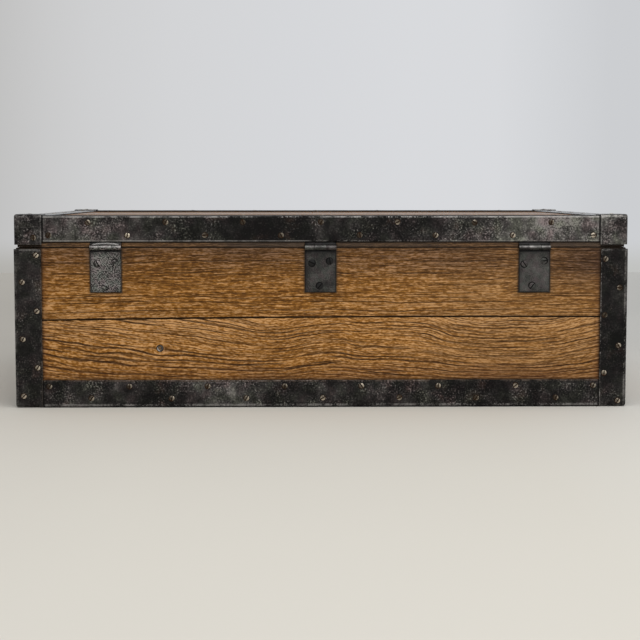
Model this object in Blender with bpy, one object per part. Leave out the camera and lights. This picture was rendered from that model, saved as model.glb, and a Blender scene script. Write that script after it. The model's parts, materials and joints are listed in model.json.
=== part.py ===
"""Iron-bound oak storage chest: plank case, hinged lid, box lock and two drop handles.

Units are metres and +Z is up. The length runs along X, the front faces -Y, and the three hinges are on the
back at +Y. The origin is at floor level, in the middle of the chest's bounding box. Left and right are those
of a person who stands in front of the chest, so right is +X.
"""

import math

import bmesh
import bpy
from mathutils import Vector

# Case and lid
LENGTH = 0.7534  # over the corner irons
DEPTH = 0.540  # over the corner irons
CASE_HEIGHT = 0.197  # floor to the rim of the oak walls
LID_HEIGHT = 0.0386  # lower edge of the lid to the top of its irons
LID_INSET = 0.0008  # outer face of a corner iron to that of the cap above it
RIM_GAP = 0.0006  # between the rim and the closed lid

# Oak
WALL = 0.018
FLOOR_BOARD = 0.014
FLOOR_BOARDS = 3
LID_BOARD = 0.016
LID_BOARDS = 3
RAIL = 0.020  # thickness of the rails that frame the lid
SEAM_HEIGHT = 0.1085  # floor to the seam between the two planks of a wall
SEAM_GAP = 0.0008
TONGUE = 0.006
TONGUE_REACH = 0.005
REBATE = 0.009  # how far an end wall is housed in the front and back planks

# Iron binding
IRON = 0.0024
FLANGE = 0.0334  # width of the corner irons and of every flat flange
BASE_FLANGE = 0.0338  # height of the irons round the base
LID_IRON = 0.0016  # thickness of the irons round the lid
LID_FLANGE = 0.0319  # height of the irons round the lid
CAP = 0.0014  # sheet of the lid's corner caps
CAP_LIFT = 0.0030  # lower edge of the lid to the lower edge of a cap
IRON_TOP_DROP = 0.0018  # rim to the top of a corner iron
ARRIS = 0.0018  # radius of the outer edge of an iron
CAP_ROUND = 0.0024  # radius of the outer edges of a cap
FOOT_ROUND = 0.004  # radius at the foot of a corner iron
TOP_ROUND = 0.003  # radius at the top of a corner iron's free edges

# Hinges
HINGE_WIDTH = 0.0382
HINGE_INSET = 0.0613  # corner iron to the nearest hinge, with the middle hinge in the middle
HINGE_SHIFT = 0.0016  # how far the hinges then stand to the right
LEAF = 0.0015
LEAF_DROP = 0.055  # hinge axis to the foot of the lower leaf
UPPER_LEAF_RISE = 0.019  # hinge axis to the top of the upper leaf
BARREL_RADIUS = 0.0031
KNUCKLE_SHARE = 0.38  # the middle knuckle's share of the barrel
KNUCKLE_GAP = 0.0004

# Lock
LOCK_WIDTH = 0.066
LOCK_HEIGHT = 0.046
LOCK_DEPTH = 0.012
LOCK_PLATE = 0.002  # walls of the lock case
LOCK_COVER = 0.0015
BOLT = 0.004  # thickness of the bolt
BOLT_BAR = 0.0045  # height of the bar along the foot of the bolt
BOLT_ROOM = 0.002  # end of the bolt to the side of the lock at each end of its travel
BOLT_DROP = 0.0125  # rim to the top of that bar
BOLT_TRAVEL = 0.006
FINGER = 0.0035  # height of a bolt finger
FINGER_REACH = 0.0045
FINGER_CLEAR = 0.0025  # unlocked finger to the toe of its hook
RISER = 0.004
TALON_RADIUS = 0.003  # notch that the key bears on
HOOK = 0.003  # thickness of a hook
HOOK_STEM = 0.004
HOOK_TOE = 0.004
HOOK_TOE_HEIGHT = 0.0035
HOOK_REACH = 0.0105  # lid's lower edge to the foot of a hook
HOOK_SLOT_SIDE = 0.0008  # room beside a hook in its slot
LINK_LENGTH = 0.052
LINK_WIDTH = 0.012
LINK_PLATE = 0.002
LEDGE = 0.002  # ribs that the bolt slides on
LEDGE_LENGTH = 0.015
KEY_DROP = 0.028  # rim to the keyhole's round part
KEY_RADIUS = 0.0036
KEY_SLOT = 0.0050
KEY_SLOT_DROP = 0.0115
ESCUTCHEON = 0.0015
ESCUTCHEON_WIDTH = 0.028
ESCUTCHEON_HEIGHT = 0.044

# Drop handles
HANDLE_HEIGHT = 0.132  # floor to the axis of a bail
HANDLE_PLATE = 0.0025
HANDLE_PLATE_LENGTH = 0.136
HANDLE_PLATE_HEIGHT = 0.036
LUG = 0.008
LUG_RADIUS = 0.0075
LUG_SPREAD = 0.044  # handle's middle to the middle of a lug
BAIL_STANDOFF = 0.0115  # wall to the axis of a bail
BAIL_RADIUS = 0.004
GRIP_RADIUS = 0.005  # middle of the grip
BAIL_SPREAD = 0.055  # handle's middle to the middle of an arm
BAIL_DROP = 0.047
BAIL_SHOULDER = 0.0062  # bend between pin and arm
BAIL_ELBOW = 0.017  # bend between arm and grip
BAIL_PIN_END = 0.003  # pin past its lug

# Clearance between two faces that bear on each other, and overshoot of a cutter
FIT = 0.0003
PAST = 0.004
ROUND_SIDES = 24

# Oak sides, as half sizes
WOOD_X = LENGTH / 2 - IRON - FIT
WOOD_Y = DEPTH / 2 - IRON - FIT
WALL_FOOT = IRON + FIT
LID_IRON_X = LENGTH / 2 - LID_INSET - CAP - FIT
LID_IRON_Y = DEPTH / 2 - LID_INSET - CAP - FIT
LID_X = LID_IRON_X - LID_IRON - FIT
LID_Y = LID_IRON_Y - LID_IRON - FIT

# Levels of the lid
LID_FOOT = CASE_HEIGHT + RIM_GAP
LID_TOP = LID_FOOT + LID_HEIGHT
LID_WOOD_TOP = LID_TOP - LID_IRON - FIT
RAIL_TOP = LID_WOOD_TOP - LID_BOARD - FIT

# Hinge axis, which runs along X
PIN_HOLE = BARREL_RADIUS - LEAF
PIN_RADIUS = PIN_HOLE - FIT
HINGE_Y = WOOD_Y + FIT + BARREL_RADIUS
HINGE_Z = CASE_HEIGHT
HINGE_SPREAD = LENGTH / 2 - FLANGE - HINGE_INSET - HINGE_WIDTH / 2
HINGE_X = {
    "left": HINGE_SHIFT - HINGE_SPREAD,
    "centre": HINGE_SHIFT,
    "right": HINGE_SHIFT + HINGE_SPREAD,
}

# The barrels stand out behind the irons, so the bounding box's middle lies behind the case's
BACK_REACH = HINGE_Y + BARREL_RADIUS
ORIGIN_Y = (BACK_REACH - DEPTH / 2) / 2

# Lock levels and its place across the front wall
LOCK_INNER = -WOOD_Y + WALL
LOCK_OUTER = LOCK_INNER - LOCK_DEPTH
LOCK_FOOT = CASE_HEIGHT - LOCK_HEIGHT
LOCK_SPACE_INNER = LOCK_INNER - LOCK_PLATE
LOCK_SPACE_OUTER = LOCK_OUTER + LOCK_COVER + FIT
BOLT_INNER = LOCK_SPACE_INNER - FIT
HOOK_MIDDLE = BOLT_INNER - BOLT / 2
BOLT_TOP = CASE_HEIGHT - BOLT_DROP
TOE_TOP = LID_FOOT - HOOK_REACH + HOOK_TOE_HEIGHT
LOCK_SPACE_X = LOCK_WIDTH / 2 - LOCK_PLATE
BOLT_END = LOCK_SPACE_X - BOLT_ROOM
BOLT_START = BOLT_TRAVEL - BOLT_END
HOOK_X = BOLT_END - RISER - FINGER_REACH - FINGER_CLEAR - HOOK_TOE - HOOK_STEM / 2
KEY_HEIGHT = CASE_HEIGHT - KEY_DROP

COLOURS = {  # base colour, roughness, metallic
    "oak": ((0.36, 0.20, 0.075), 0.6, 0.0),
    "iron": ((0.045, 0.043, 0.042), 0.5, 0.8),
    "hinge_iron": ((0.11, 0.11, 0.11), 0.5, 0.8),
    "brass": ((0.48, 0.36, 0.18), 0.4, 1.0),
    "steel": ((0.35, 0.35, 0.35), 0.4, 1.0),
}


def clear_scene():
    for old in list(bpy.data.objects):
        bpy.data.objects.remove(old)


def make_materials():
    made = {}
    for name, (colour, roughness, metallic) in COLOURS.items():
        material = bpy.data.materials.new(name)
        material.use_nodes = True
        shader = material.node_tree.nodes["Principled BSDF"]
        shader.inputs["Base Color"].default_value = (*colour, 1.0)
        shader.inputs["Roughness"].default_value = roughness
        shader.inputs["Metallic"].default_value = metallic
        made[name] = material
    return made


def make_empty(name, place, parent=None):
    empty = bpy.data.objects.new(name, None)
    bpy.context.scene.collection.objects.link(empty)
    empty.location = place
    empty.parent = parent
    return empty


def seat(piece, material, body, place=None):
    """Finishes a piece: its material, and the body that carries it. A piece drawn in the chest's own frame
    needs no place, and one drawn about its own origin gives that origin's place in the chest's frame."""
    piece.data.materials.clear()
    piece.data.materials.append(material)
    piece.parent = body
    carried_at = body.location if body.parent else Vector()
    piece.location = Vector(place or (0, 0, 0)) - carried_at
    return piece


def copied(piece, name):
    """Another object that shares a finished piece's mesh."""
    twin = bpy.data.objects.new(name, piece.data)
    bpy.context.scene.collection.objects.link(twin)
    return twin


def object_from(name, bm):
    bmesh.ops.recalc_face_normals(bm, faces=bm.faces)
    mesh = bpy.data.meshes.new(name)
    bm.to_mesh(mesh)
    bm.free()
    made = bpy.data.objects.new(name, mesh)
    bpy.context.scene.collection.objects.link(made)
    return made


def loft(name, first, second):
    """A closed solid between two rings that have the same number of points."""
    bm = bmesh.new()
    near = [bm.verts.new(p) for p in first]
    far = [bm.verts.new(p) for p in second]
    bm.faces.new(near)
    bm.faces.new(far[::-1])
    for i in range(len(near)):
        j = (i + 1) % len(near)
        bm.faces.new((near[j], near[i], far[i], far[j]))
    return object_from(name, bm)


def point_on(axis, along, a, b):
    """A point from its place along an axis and its two coordinates across that axis, in X, Y, Z order."""
    return {"X": (along, a, b), "Y": (a, along, b), "Z": (a, b, along)}[axis]


def prism(name, outline, axis, start, end):
    """An outline drawn out along an axis."""
    return loft(
        name,
        [point_on(axis, start, a, b) for a, b in outline],
        [point_on(axis, end, a, b) for a, b in outline],
    )


def block(name, low, high):
    """A box between two opposite corners, which may be given in any order."""
    (x0, x1), (y0, y1), (z0, z1) = (sorted(pair) for pair in zip(low, high))
    return prism(name, [(x0, y0), (x1, y0), (x1, y1), (x0, y1)], "Z", z0, z1)


def arc(centre, radius, start, end, steps):
    """Points on an arc, with angles in degrees and both ends included."""
    angles = [math.radians(start + (end - start) * i / steps) for i in range(steps + 1)]
    return [(centre[0] + radius * math.cos(a), centre[1] + radius * math.sin(a)) for a in angles]


def disc(centre, radius):
    return arc(centre, radius, 0, 360, ROUND_SIDES)[:-1]


def combine(piece, tool, operation):
    """Applies one Boolean to a piece and removes the tool."""
    modifier = piece.modifiers.new(operation.lower(), "BOOLEAN")
    modifier.operation = operation
    modifier.object = tool
    bpy.context.view_layer.update()
    graph = bpy.context.evaluated_depsgraph_get()
    old = piece.data
    mesh = bpy.data.meshes.new_from_object(piece.evaluated_get(graph))
    piece.modifiers.clear()
    piece.data = mesh
    mesh.name = piece.name
    bpy.data.meshes.remove(old)
    bpy.data.objects.remove(tool)
    return piece


def carve(piece, *tools):
    for tool in tools:
        combine(piece, tool, "DIFFERENCE")
    return piece


def join(piece, *tools):
    for tool in tools:
        combine(piece, tool, "UNION")
    return piece


def smooth_rounds(piece, degrees=40):
    piece.data.shade_smooth()
    piece.data.set_sharp_from_angle(angle=math.radians(degrees))
    return piece


def plank_outline(faces, edges, grooved, tongued):
    """Cross-section of a plank as points (across its thickness, across its width). Its low edge may carry a
    groove and its high edge a tongue."""
    thin, thick = faces
    low, high = edges
    middle = (thin + thick) / 2
    points = [(thin, low)]
    if grooved:
        half = TONGUE / 2 + FIT
        roof = low - SEAM_GAP + TONGUE_REACH + FIT
        points += [(middle - half, low), (middle - half, roof), (middle + half, roof), (middle + half, low)]
    points += [(thick, low), (thick, high)]
    if tongued:
        half = TONGUE / 2
        tip = high + TONGUE_REACH
        points += [(middle + half, high), (middle + half, tip), (middle - half, tip), (middle - half, high)]
    return points + [(thin, high)]


def plank_edges(low, high, count):
    """The low and high shoulders of planks of one width that lie side by side."""
    width = (high - low - SEAM_GAP * (count - 1)) / count
    return [(low + i * (width + SEAM_GAP), low + i * (width + SEAM_GAP) + width) for i in range(count)]


def wall_planks(side, axis, outer, inner, half_length):
    """The lower and upper plank of one wall, which runs along an axis."""
    levels = {"lower": (WALL_FOOT, SEAM_HEIGHT), "upper": (SEAM_HEIGHT + SEAM_GAP, CASE_HEIGHT)}
    made = []
    for level, edges in levels.items():
        outline = plank_outline(sorted((outer, inner)), edges, level == "upper", level == "lower")
        made.append(prism(f"{side}_{level}_plank", outline, axis, -half_length, half_length))
    return made


def rebate_tools(sign):
    """Cutters for the rebates at both ends of a front or back plank."""
    inner = sign * (WOOD_Y - WALL - PAST)
    shoulder = sign * (WOOD_Y - WALL + REBATE)
    tools = []
    for end in (-1, 1):
        low = (end * (WOOD_X - WALL - FIT), inner, 0)
        high = (end * (WOOD_X + PAST), shoulder, CASE_HEIGHT + PAST)
        tools.append(block("rebate", low, high))
    return tools


def make_walls(oak, chest):
    for side, sign in (("front", -1), ("back", 1)):
        for plank in wall_planks(side, "X", sign * WOOD_Y, sign * (WOOD_Y - WALL), WOOD_X):
            carve(plank, *rebate_tools(sign))
            if plank.name == "front_upper_plank":
                carve(plank, lock_mortise(), keyhole_tool())
            seat(plank, oak, chest)
    housed = WOOD_Y - WALL + REBATE - FIT
    for side, sign in (("left", -1), ("right", 1)):
        for plank in wall_planks(side, "Y", sign * WOOD_X, sign * (WOOD_X - WALL), housed):
            seat(plank, oak, chest)


def make_floor(oak, chest):
    """Floor boards, which lie on the flat flanges of the base irons."""
    half_length = WOOD_X - WALL - FIT
    half_width = WOOD_Y - WALL - FIT
    spans = plank_edges(-half_width, half_width, FLOOR_BOARDS)
    for i, edges in enumerate(spans):
        outline = plank_outline((WALL_FOOT, WALL_FOOT + FLOOR_BOARD), edges, i > 0, i < FLOOR_BOARDS - 1)
        outline = [(y, z) for z, y in outline]
        board = prism(f"floor_board_{i + 1}", outline, "X", -half_length, half_length)
        seat(board, oak, chest)


def make_lid_oak(oak, lid):
    spans = plank_edges(-LID_Y, LID_Y, LID_BOARDS)
    for i, edges in enumerate(spans):
        outline = plank_outline((RAIL_TOP + FIT, LID_WOOD_TOP), edges, i > 0, i < LID_BOARDS - 1)
        outline = [(y, z) for z, y in outline]
        seat(prism(f"lid_board_{i + 1}", outline, "X", -LID_X, LID_X), oak, lid)
    for side, sign in (("front", -1), ("back", 1)):
        low = (-LID_X, sign * LID_Y, LID_FOOT)
        high = (LID_X, sign * (LID_Y - RAIL), RAIL_TOP)
        rail = block(f"lid_{side}_rail", low, high)
        carve(rail, *([link_pocket()] if side == "front" else upper_leaf_pockets()))
        seat(rail, oak, lid)
    half_width = LID_Y - RAIL - FIT
    for side, sign in (("left", -1), ("right", 1)):
        low = (sign * LID_X, -half_width, LID_FOOT)
        high = (sign * (LID_X - RAIL), half_width, RAIL_TOP)
        seat(block(f"lid_{side}_rail", low, high), oak, lid)


def angle_outline(first_flange, second_flange, thick=IRON):
    """An angle iron's section as distances (inward from one outer face, inward from the other). The outer
    corner lies at zero and is rounded."""
    return [
        (first_flange, 0),
        *arc((ARRIS, ARRIS), ARRIS, 270, 180, 3),
        (0, second_flange),
        (thick, second_flange),
        (thick, thick),
        (first_flange, thick),
    ]


def rounding_tool(axis, corner, outward, radius, start, end):
    """Cutter that rounds one corner of a section. The corner and the two directions that lead out of the
    material there are given across the axis."""
    (a, b), (out_a, out_b) = corner, outward
    turn = [
        (a - out_a * radius * (1 - x), b - out_b * radius * (1 - y)) for x, y in arc((0, 0), 1, 0, 90, 4)
    ]
    past_a, past_b = a + out_a * PAST, b + out_b * PAST
    outline = [(past_a, past_b), (past_a, b - out_b * radius), *turn, (a - out_a * radius, past_b)]
    return prism("rounding", outline, axis, start, end)


def make_corner_irons(iron, chest):
    """Angle irons up the corners of the case, rounded at the foot and at the top of their free edges."""
    top = CASE_HEIGHT - IRON_TOP_DROP
    for end, x_sign in (("left", -1), ("right", 1)):
        for side, y_sign in (("front", -1), ("back", 1)):
            outline = [
                (x_sign * (LENGTH / 2 - a), y_sign * (DEPTH / 2 - b))
                for a, b in angle_outline(FLANGE, FLANGE)
            ]
            piece = prism(f"corner_iron_{side}_{end}", outline, "Z", 0, top)
            for axis, out, half, across, other in (
                ("Y", x_sign, LENGTH / 2, y_sign, DEPTH / 2),
                ("X", y_sign, DEPTH / 2, x_sign, LENGTH / 2),
            ):
                run = across * (other - FLANGE - PAST), across * (other + PAST)
                foot = (out * half, 0)
                free = (out * (half - FLANGE), top)
                carve(
                    piece,
                    rounding_tool(axis, foot, (out, -1), FOOT_ROUND, *run),
                    rounding_tool(axis, free, (-out, 1), TOP_ROUND, *run),
                )
            seat(smooth_rounds(piece), iron, chest)


def make_base_irons(iron, chest):
    """Angle irons round the foot of the case, which end at the corner irons and carry the floor boards."""
    for side, axis, sign, outer, run in (
        ("front", "X", -1, DEPTH / 2, LENGTH / 2),
        ("back", "X", 1, DEPTH / 2, LENGTH / 2),
        ("left", "Y", -1, LENGTH / 2, DEPTH / 2),
        ("right", "Y", 1, LENGTH / 2, DEPTH / 2),
    ):
        outline = [(sign * (outer - a), b) for a, b in angle_outline(FLANGE, BASE_FLANGE)]
        reach = run - FLANGE - FIT
        seat(smooth_rounds(prism(f"base_iron_{side}", outline, axis, -reach, reach)), iron, chest)


def make_lid_irons(iron, lid):
    """Angle irons round the lid's top edge, mitred where they meet under the corner caps."""
    for side, axis, sign, outer, run in (
        ("front", "X", -1, LID_IRON_Y, LID_IRON_X),
        ("back", "X", 1, LID_IRON_Y, LID_IRON_X),
        ("left", "Y", -1, LID_IRON_X, LID_IRON_Y),
        ("right", "Y", 1, LID_IRON_X, LID_IRON_Y),
    ):
        rings = []
        for end in (-1, 1):
            section = angle_outline(FLANGE, LID_FLANGE, LID_IRON)
            rings.append(
                [point_on(axis, end * (run - a - FIT), sign * (outer - a), LID_TOP - b) for a, b in section]
            )
        seat(smooth_rounds(loft(f"lid_iron_{side}", *rings)), iron, lid)


def make_lid_caps(iron, lid):
    """Folded sheet caps over the lid's corners, each a box open below and on its two inner sides."""
    top = LID_TOP + FIT + CAP
    foot = LID_FOOT + CAP_LIFT
    half_x, half_y = LENGTH / 2 - LID_INSET, DEPTH / 2 - LID_INSET
    for end, x_sign in (("left", -1), ("right", 1)):
        for side, y_sign in (("front", -1), ("back", 1)):
            outer = Vector((x_sign * half_x, y_sign * half_y, top))
            inner = Vector((x_sign * (half_x - FLANGE), y_sign * (half_y - FLANGE), foot))
            cap = block(f"lid_cap_{side}_{end}", outer, inner)
            round_corner(cap, outer, CAP_ROUND)
            hollow_outer = outer - Vector((x_sign, y_sign, 1)) * CAP
            hollow_inner = inner - Vector((x_sign, y_sign, 1)) * PAST
            carve(cap, block("cap_hollow", hollow_outer, hollow_inner))
            seat(smooth_rounds(cap), iron, lid)


def round_corner(piece, corner, radius):
    """Rounds the three edges of a box that meet at one corner."""
    bm = bmesh.new()
    bm.from_mesh(piece.data)
    tip = min(bm.verts, key=lambda v: (v.co - corner).length)
    bmesh.ops.bevel(bm, geom=tip.link_edges[:], offset=radius, segments=3, affect="EDGES", profile=0.5)
    bm.to_mesh(piece.data)
    bm.free()


def upper_leaf_pockets():
    """Cutters that let the upper leaves into the lid's back rail, flush under the back iron."""
    half = HINGE_WIDTH / 2 + FIT
    top = HINGE_Z + UPPER_LEAF_RISE + FIT
    return [
        block("leaf_pocket", (x - half, LID_Y - LEAF - FIT, LID_FOOT - PAST), (x + half, LID_Y + PAST, top))
        for x in HINGE_X.values()
    ]


def lower_leaf_outline():
    """Section of a lower leaf about the hinge axis: the plate rises along the wall and rolls outwards round
    the pin."""
    outer_face = LEAF - BARREL_RADIUS
    meets = math.degrees(math.acos(outer_face / BARREL_RADIUS))
    roll = arc((0, 0), BARREL_RADIUS, -meets, 180, ROUND_SIDES)
    return [(-BARREL_RADIUS, -LEAF_DROP), (outer_face, -LEAF_DROP), *roll]


def upper_leaf_outline():
    """Section of an upper leaf about the hinge axis: a plate let into the lid, cranked out below the lid's
    iron and rolled over the pin."""
    outer = LID_Y - HINGE_Y
    inner = outer - LEAF
    bend = LID_TOP - LID_FLANGE - HINGE_Z - LEAF
    tangent = math.atan2(bend, outer) - math.acos(BARREL_RADIUS / math.hypot(outer, bend))
    normal = Vector((math.cos(tangent), math.sin(tangent)))
    along = Vector((math.sin(tangent), -math.cos(tangent)))
    under = normal * PIN_HOLE
    inner_bend = under + along * ((inner - under.x) / along.x)
    meets = under - along * math.sqrt(BARREL_RADIUS**2 - PIN_HOLE**2)
    end = math.degrees(math.atan2(meets.y, meets.x)) - 360
    roll = arc((0, 0), BARREL_RADIUS, math.degrees(tangent), end, ROUND_SIDES)
    return [(outer, UPPER_LEAF_RISE), (outer, bend), *roll, tuple(inner_bend), (inner, UPPER_LEAF_RISE)]


def knuckle_room(start, end):
    """Cutter that clears the other leaf's knuckle from a leaf."""
    return prism("knuckle_room", disc((0, 0), BARREL_RADIUS + KNUCKLE_GAP), "X", start, end)


def make_hinges(iron, steel, chest, lid):
    """Three hinges. Each part is drawn once about the middle of its axis and then copied along the back."""
    half = HINGE_WIDTH / 2
    middle = half * KNUCKLE_SHARE
    lower = prism("lower_leaf", lower_leaf_outline(), "X", -half, half)
    carve(lower, knuckle_room(-middle - KNUCKLE_GAP, middle + KNUCKLE_GAP))
    upper = prism("upper_leaf", upper_leaf_outline(), "X", -half, half)
    carve(upper, knuckle_room(-half - PAST, -middle), knuckle_room(middle, half + PAST))
    for leaf in (lower, upper):
        carve(leaf, prism("pin_hole", disc((0, 0), PIN_HOLE), "X", -half - PAST, half + PAST))
        smooth_rounds(leaf)
    pin = smooth_rounds(prism("pin", disc((0, 0), PIN_RADIUS), "X", -half, half))
    for where, x in HINGE_X.items():
        place = (x, HINGE_Y, HINGE_Z)
        seat(copied(lower, f"hinge_lower_leaf_{where}"), iron, chest, place)
        seat(copied(upper, f"hinge_upper_leaf_{where}"), iron, lid, place)
        seat(copied(pin, f"hinge_pin_{where}"), steel, chest, place)
    for drawn in (lower, upper, pin):
        bpy.data.objects.remove(drawn)


def lock_mortise():
    """Cutter for the pocket in the front wall that the lock is let into from inside."""
    half = LOCK_WIDTH / 2 + FIT
    return block(
        "lock_mortise",
        (-half, LOCK_OUTER - FIT, LOCK_FOOT - FIT),
        (half, LOCK_INNER + PAST, CASE_HEIGHT + PAST),
    )


def keyhole_tool():
    """Cutter for the keyhole, a round hole with a slot below, through all that lies in front of the lock."""
    front = -WOOD_Y - ESCUTCHEON - FIT - PAST
    back = LOCK_SPACE_OUTER + FIT
    hole = prism("keyhole", disc((0, KEY_HEIGHT), KEY_RADIUS), "Y", front, back)
    slot_low = (-KEY_SLOT / 2, front, KEY_HEIGHT - KEY_SLOT_DROP)
    return join(hole, block("key_slot", slot_low, (KEY_SLOT / 2, back, KEY_HEIGHT)))


def link_pocket():
    """Cutter that lets the link plate into the lower face of the lid's front rail."""
    half = LINK_LENGTH / 2 + FIT
    across = LINK_WIDTH / 2 + FIT
    low = (-half, HOOK_MIDDLE - across, LID_FOOT - PAST)
    return block("link_pocket", low, (half, HOOK_MIDDLE + across, LID_FOOT + LINK_PLATE + FIT))


def hook_outline(stem):
    """A hook of the link plate, seen from the front: a stem with a toe at its foot."""
    foot = LID_FOOT - HOOK_REACH
    side = stem + HOOK_STEM / 2
    return [
        (stem - HOOK_STEM / 2, LID_FOOT + LINK_PLATE / 2),
        (stem - HOOK_STEM / 2, foot),
        (side + HOOK_TOE, foot),
        (side + HOOK_TOE, TOE_TOP),
        (side, TOE_TOP),
        (side, LID_FOOT + LINK_PLATE / 2),
    ]


def make_link_plate(steel, lid):
    half = LINK_LENGTH / 2
    across = LINK_WIDTH / 2
    low = (-half, HOOK_MIDDLE - across, LID_FOOT)
    plate = block("lock_link_plate", low, (half, HOOK_MIDDLE + across, LID_FOOT + LINK_PLATE))
    for x in (-HOOK_X, HOOK_X):
        join(plate, prism("hook", hook_outline(x), "Y", HOOK_MIDDLE - HOOK / 2, HOOK_MIDDLE + HOOK / 2))
    seat(plate, steel, lid)


def make_lock_case(steel, chest):
    """An open-fronted box let into the front wall, with slots for the hooks and ribs for the bolt."""
    half = LOCK_WIDTH / 2
    front = LOCK_OUTER + LOCK_COVER + FIT
    case = block("lock_case", (-half, front, LOCK_FOOT), (half, LOCK_INNER, CASE_HEIGHT))
    low = (-LOCK_SPACE_X, front - PAST, LOCK_FOOT + LOCK_PLATE)
    carve(case, block("lock_space", low, (LOCK_SPACE_X, LOCK_SPACE_INNER, CASE_HEIGHT - LOCK_PLATE)))
    side = HOOK / 2 + HOOK_SLOT_SIDE
    for x in (-HOOK_X, HOOK_X):
        start = x - HOOK_STEM / 2 - HOOK_SLOT_SIDE
        end = x + HOOK_STEM / 2 + HOOK_TOE + HOOK_SLOT_SIDE
        slot_low = (start, HOOK_MIDDLE - side, CASE_HEIGHT - LOCK_PLATE - PAST)
        carve(case, block("hook_slot", slot_low, (end, HOOK_MIDDLE + side, CASE_HEIGHT + PAST)))
    rib_top = BOLT_TOP - BOLT_BAR - FIT
    for end in (-1, 1):
        rib_low = (end * (LOCK_SPACE_X + LOCK_PLATE / 2), front + FIT, rib_top - LEDGE)
        rib_high = (end * (LOCK_SPACE_X - LEDGE_LENGTH), LOCK_SPACE_INNER + LOCK_PLATE / 2, rib_top)
        join(case, block("ledge", rib_low, rib_high))
    seat(case, steel, chest)


def make_lock_cover(steel, chest):
    half = LOCK_WIDTH / 2
    high = (half, LOCK_OUTER + LOCK_COVER, CASE_HEIGHT)
    seat(carve(block("lock_cover", (-half, LOCK_OUTER, LOCK_FOOT), high), keyhole_tool()), steel, chest)


def make_lock_bolt(brass, slide):
    """A bar with two fingers that slide over the toes of the hooks, and a notch that the key bears on."""
    foot = BOLT_TOP - BOLT_BAR
    inner, outer = BOLT_INNER, BOLT_INNER - BOLT
    bolt = block("lock_bolt", (BOLT_START, outer, foot), (BOLT_END, inner, BOLT_TOP))
    finger_foot = TOE_TOP + FIT
    finger_top = finger_foot + FINGER
    for x in (-HOOK_X, HOOK_X):
        tip = x + HOOK_STEM / 2 + HOOK_TOE + FINGER_CLEAR
        heel = tip + FINGER_REACH
        root = BOLT_TOP - BOLT_BAR / 2
        back = heel + RISER
        outline = [
            (heel, root),
            (back, root),
            (back, finger_top),
            (tip, finger_top),
            (tip, finger_foot),
            (heel, finger_foot),
        ]
        join(bolt, prism("finger", outline, "Y", outer, inner))
    carve(bolt, prism("talon", disc((0, foot), TALON_RADIUS), "Y", outer - PAST, inner + PAST))
    seat(bolt, brass, slide)


def make_escutcheon(brass, chest):
    """An oval plate round the keyhole, centred on the height of the whole keyhole."""
    centre = KEY_HEIGHT + (KEY_RADIUS - KEY_SLOT_DROP) / 2
    oval = [
        (ESCUTCHEON_WIDTH / 2 * x, centre + ESCUTCHEON_HEIGHT / 2 * z) for x, z in disc((0, 0), 1)
    ]
    face = -WOOD_Y - FIT
    plate = prism("keyhole_escutcheon", oval, "Y", face - ESCUTCHEON, face)
    seat(smooth_rounds(carve(plate, keyhole_tool())), brass, chest)


def handle_plate_outline():
    """A plate with round ends, as points along and above the handle's middle."""
    radius = HANDLE_PLATE_HEIGHT / 2
    run = HANDLE_PLATE_LENGTH / 2 - radius
    steps = ROUND_SIDES // 2
    return arc((run, 0), radius, -90, 90, steps) + arc((-run, 0), radius, 90, 270, steps)


def draw_handle_plate():
    """Plate and lugs, about the point of the wall behind the middle of the bail's axis, with +X outwards."""
    plate = prism("handle_plate", handle_plate_outline(), "X", FIT, FIT + HANDLE_PLATE)
    root = FIT + HANDLE_PLATE / 2
    for end in (-1, 1):
        nose = arc((BAIL_STANDOFF, 0), LUG_RADIUS, -90, 90, ROUND_SIDES // 2)
        outline = [(root, -LUG_RADIUS), *nose, (root, LUG_RADIUS)]
        middle = end * LUG_SPREAD
        join(plate, prism("lug", outline, "Y", middle - LUG / 2, middle + LUG / 2))
    hole = disc((BAIL_STANDOFF, 0), BAIL_RADIUS + FIT)
    reach = LUG_SPREAD + LUG / 2 + PAST
    return smooth_rounds(carve(plate, prism("pin_hole", hole, "Y", -reach, reach)))


def bail_path():
    """Half of a bail's centre line, as points (along the axis, below it): pin, arm and half the grip."""
    pin_end = LUG_SPREAD - LUG / 2 - BAIL_PIN_END
    pin_out = LUG_SPREAD + LUG / 2
    shoulder = arc((BAIL_SPREAD - BAIL_SHOULDER, -BAIL_SHOULDER), BAIL_SHOULDER, 90, 0, 5)
    elbow = arc((BAIL_SPREAD - BAIL_ELBOW, BAIL_ELBOW - BAIL_DROP), BAIL_ELBOW, 0, -90, 7)
    grip = (BAIL_SPREAD - BAIL_ELBOW) / 2
    return [(pin_end, 0), (pin_out, 0), *shoulder, *elbow, (grip, -BAIL_DROP), (0, -BAIL_DROP)]


def draw_bail():
    """A forged bar bent to a bail, about the middle of its axis. Its grip swells towards the middle."""
    half = bail_path()
    path = [(-y, z) for y, z in half[:-1]] + half[::-1]
    curve = bpy.data.curves.new("bail", "CURVE")
    curve.dimensions = "3D"
    curve.bevel_depth = BAIL_RADIUS
    curve.bevel_resolution = 2
    curve.use_fill_caps = True
    spline = curve.splines.new("POLY")
    spline.points.add(len(path) - 1)
    bend = BAIL_SPREAD - BAIL_ELBOW
    for point, (y, z) in zip(spline.points, path):
        point.co = (0, y, z, 1)
        on_grip = max(0, 1 - abs(y) / bend) if z < -BAIL_DROP / 2 else 0
        point.radius = 1 + (GRIP_RADIUS / BAIL_RADIUS - 1) * on_grip
    return curve


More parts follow.
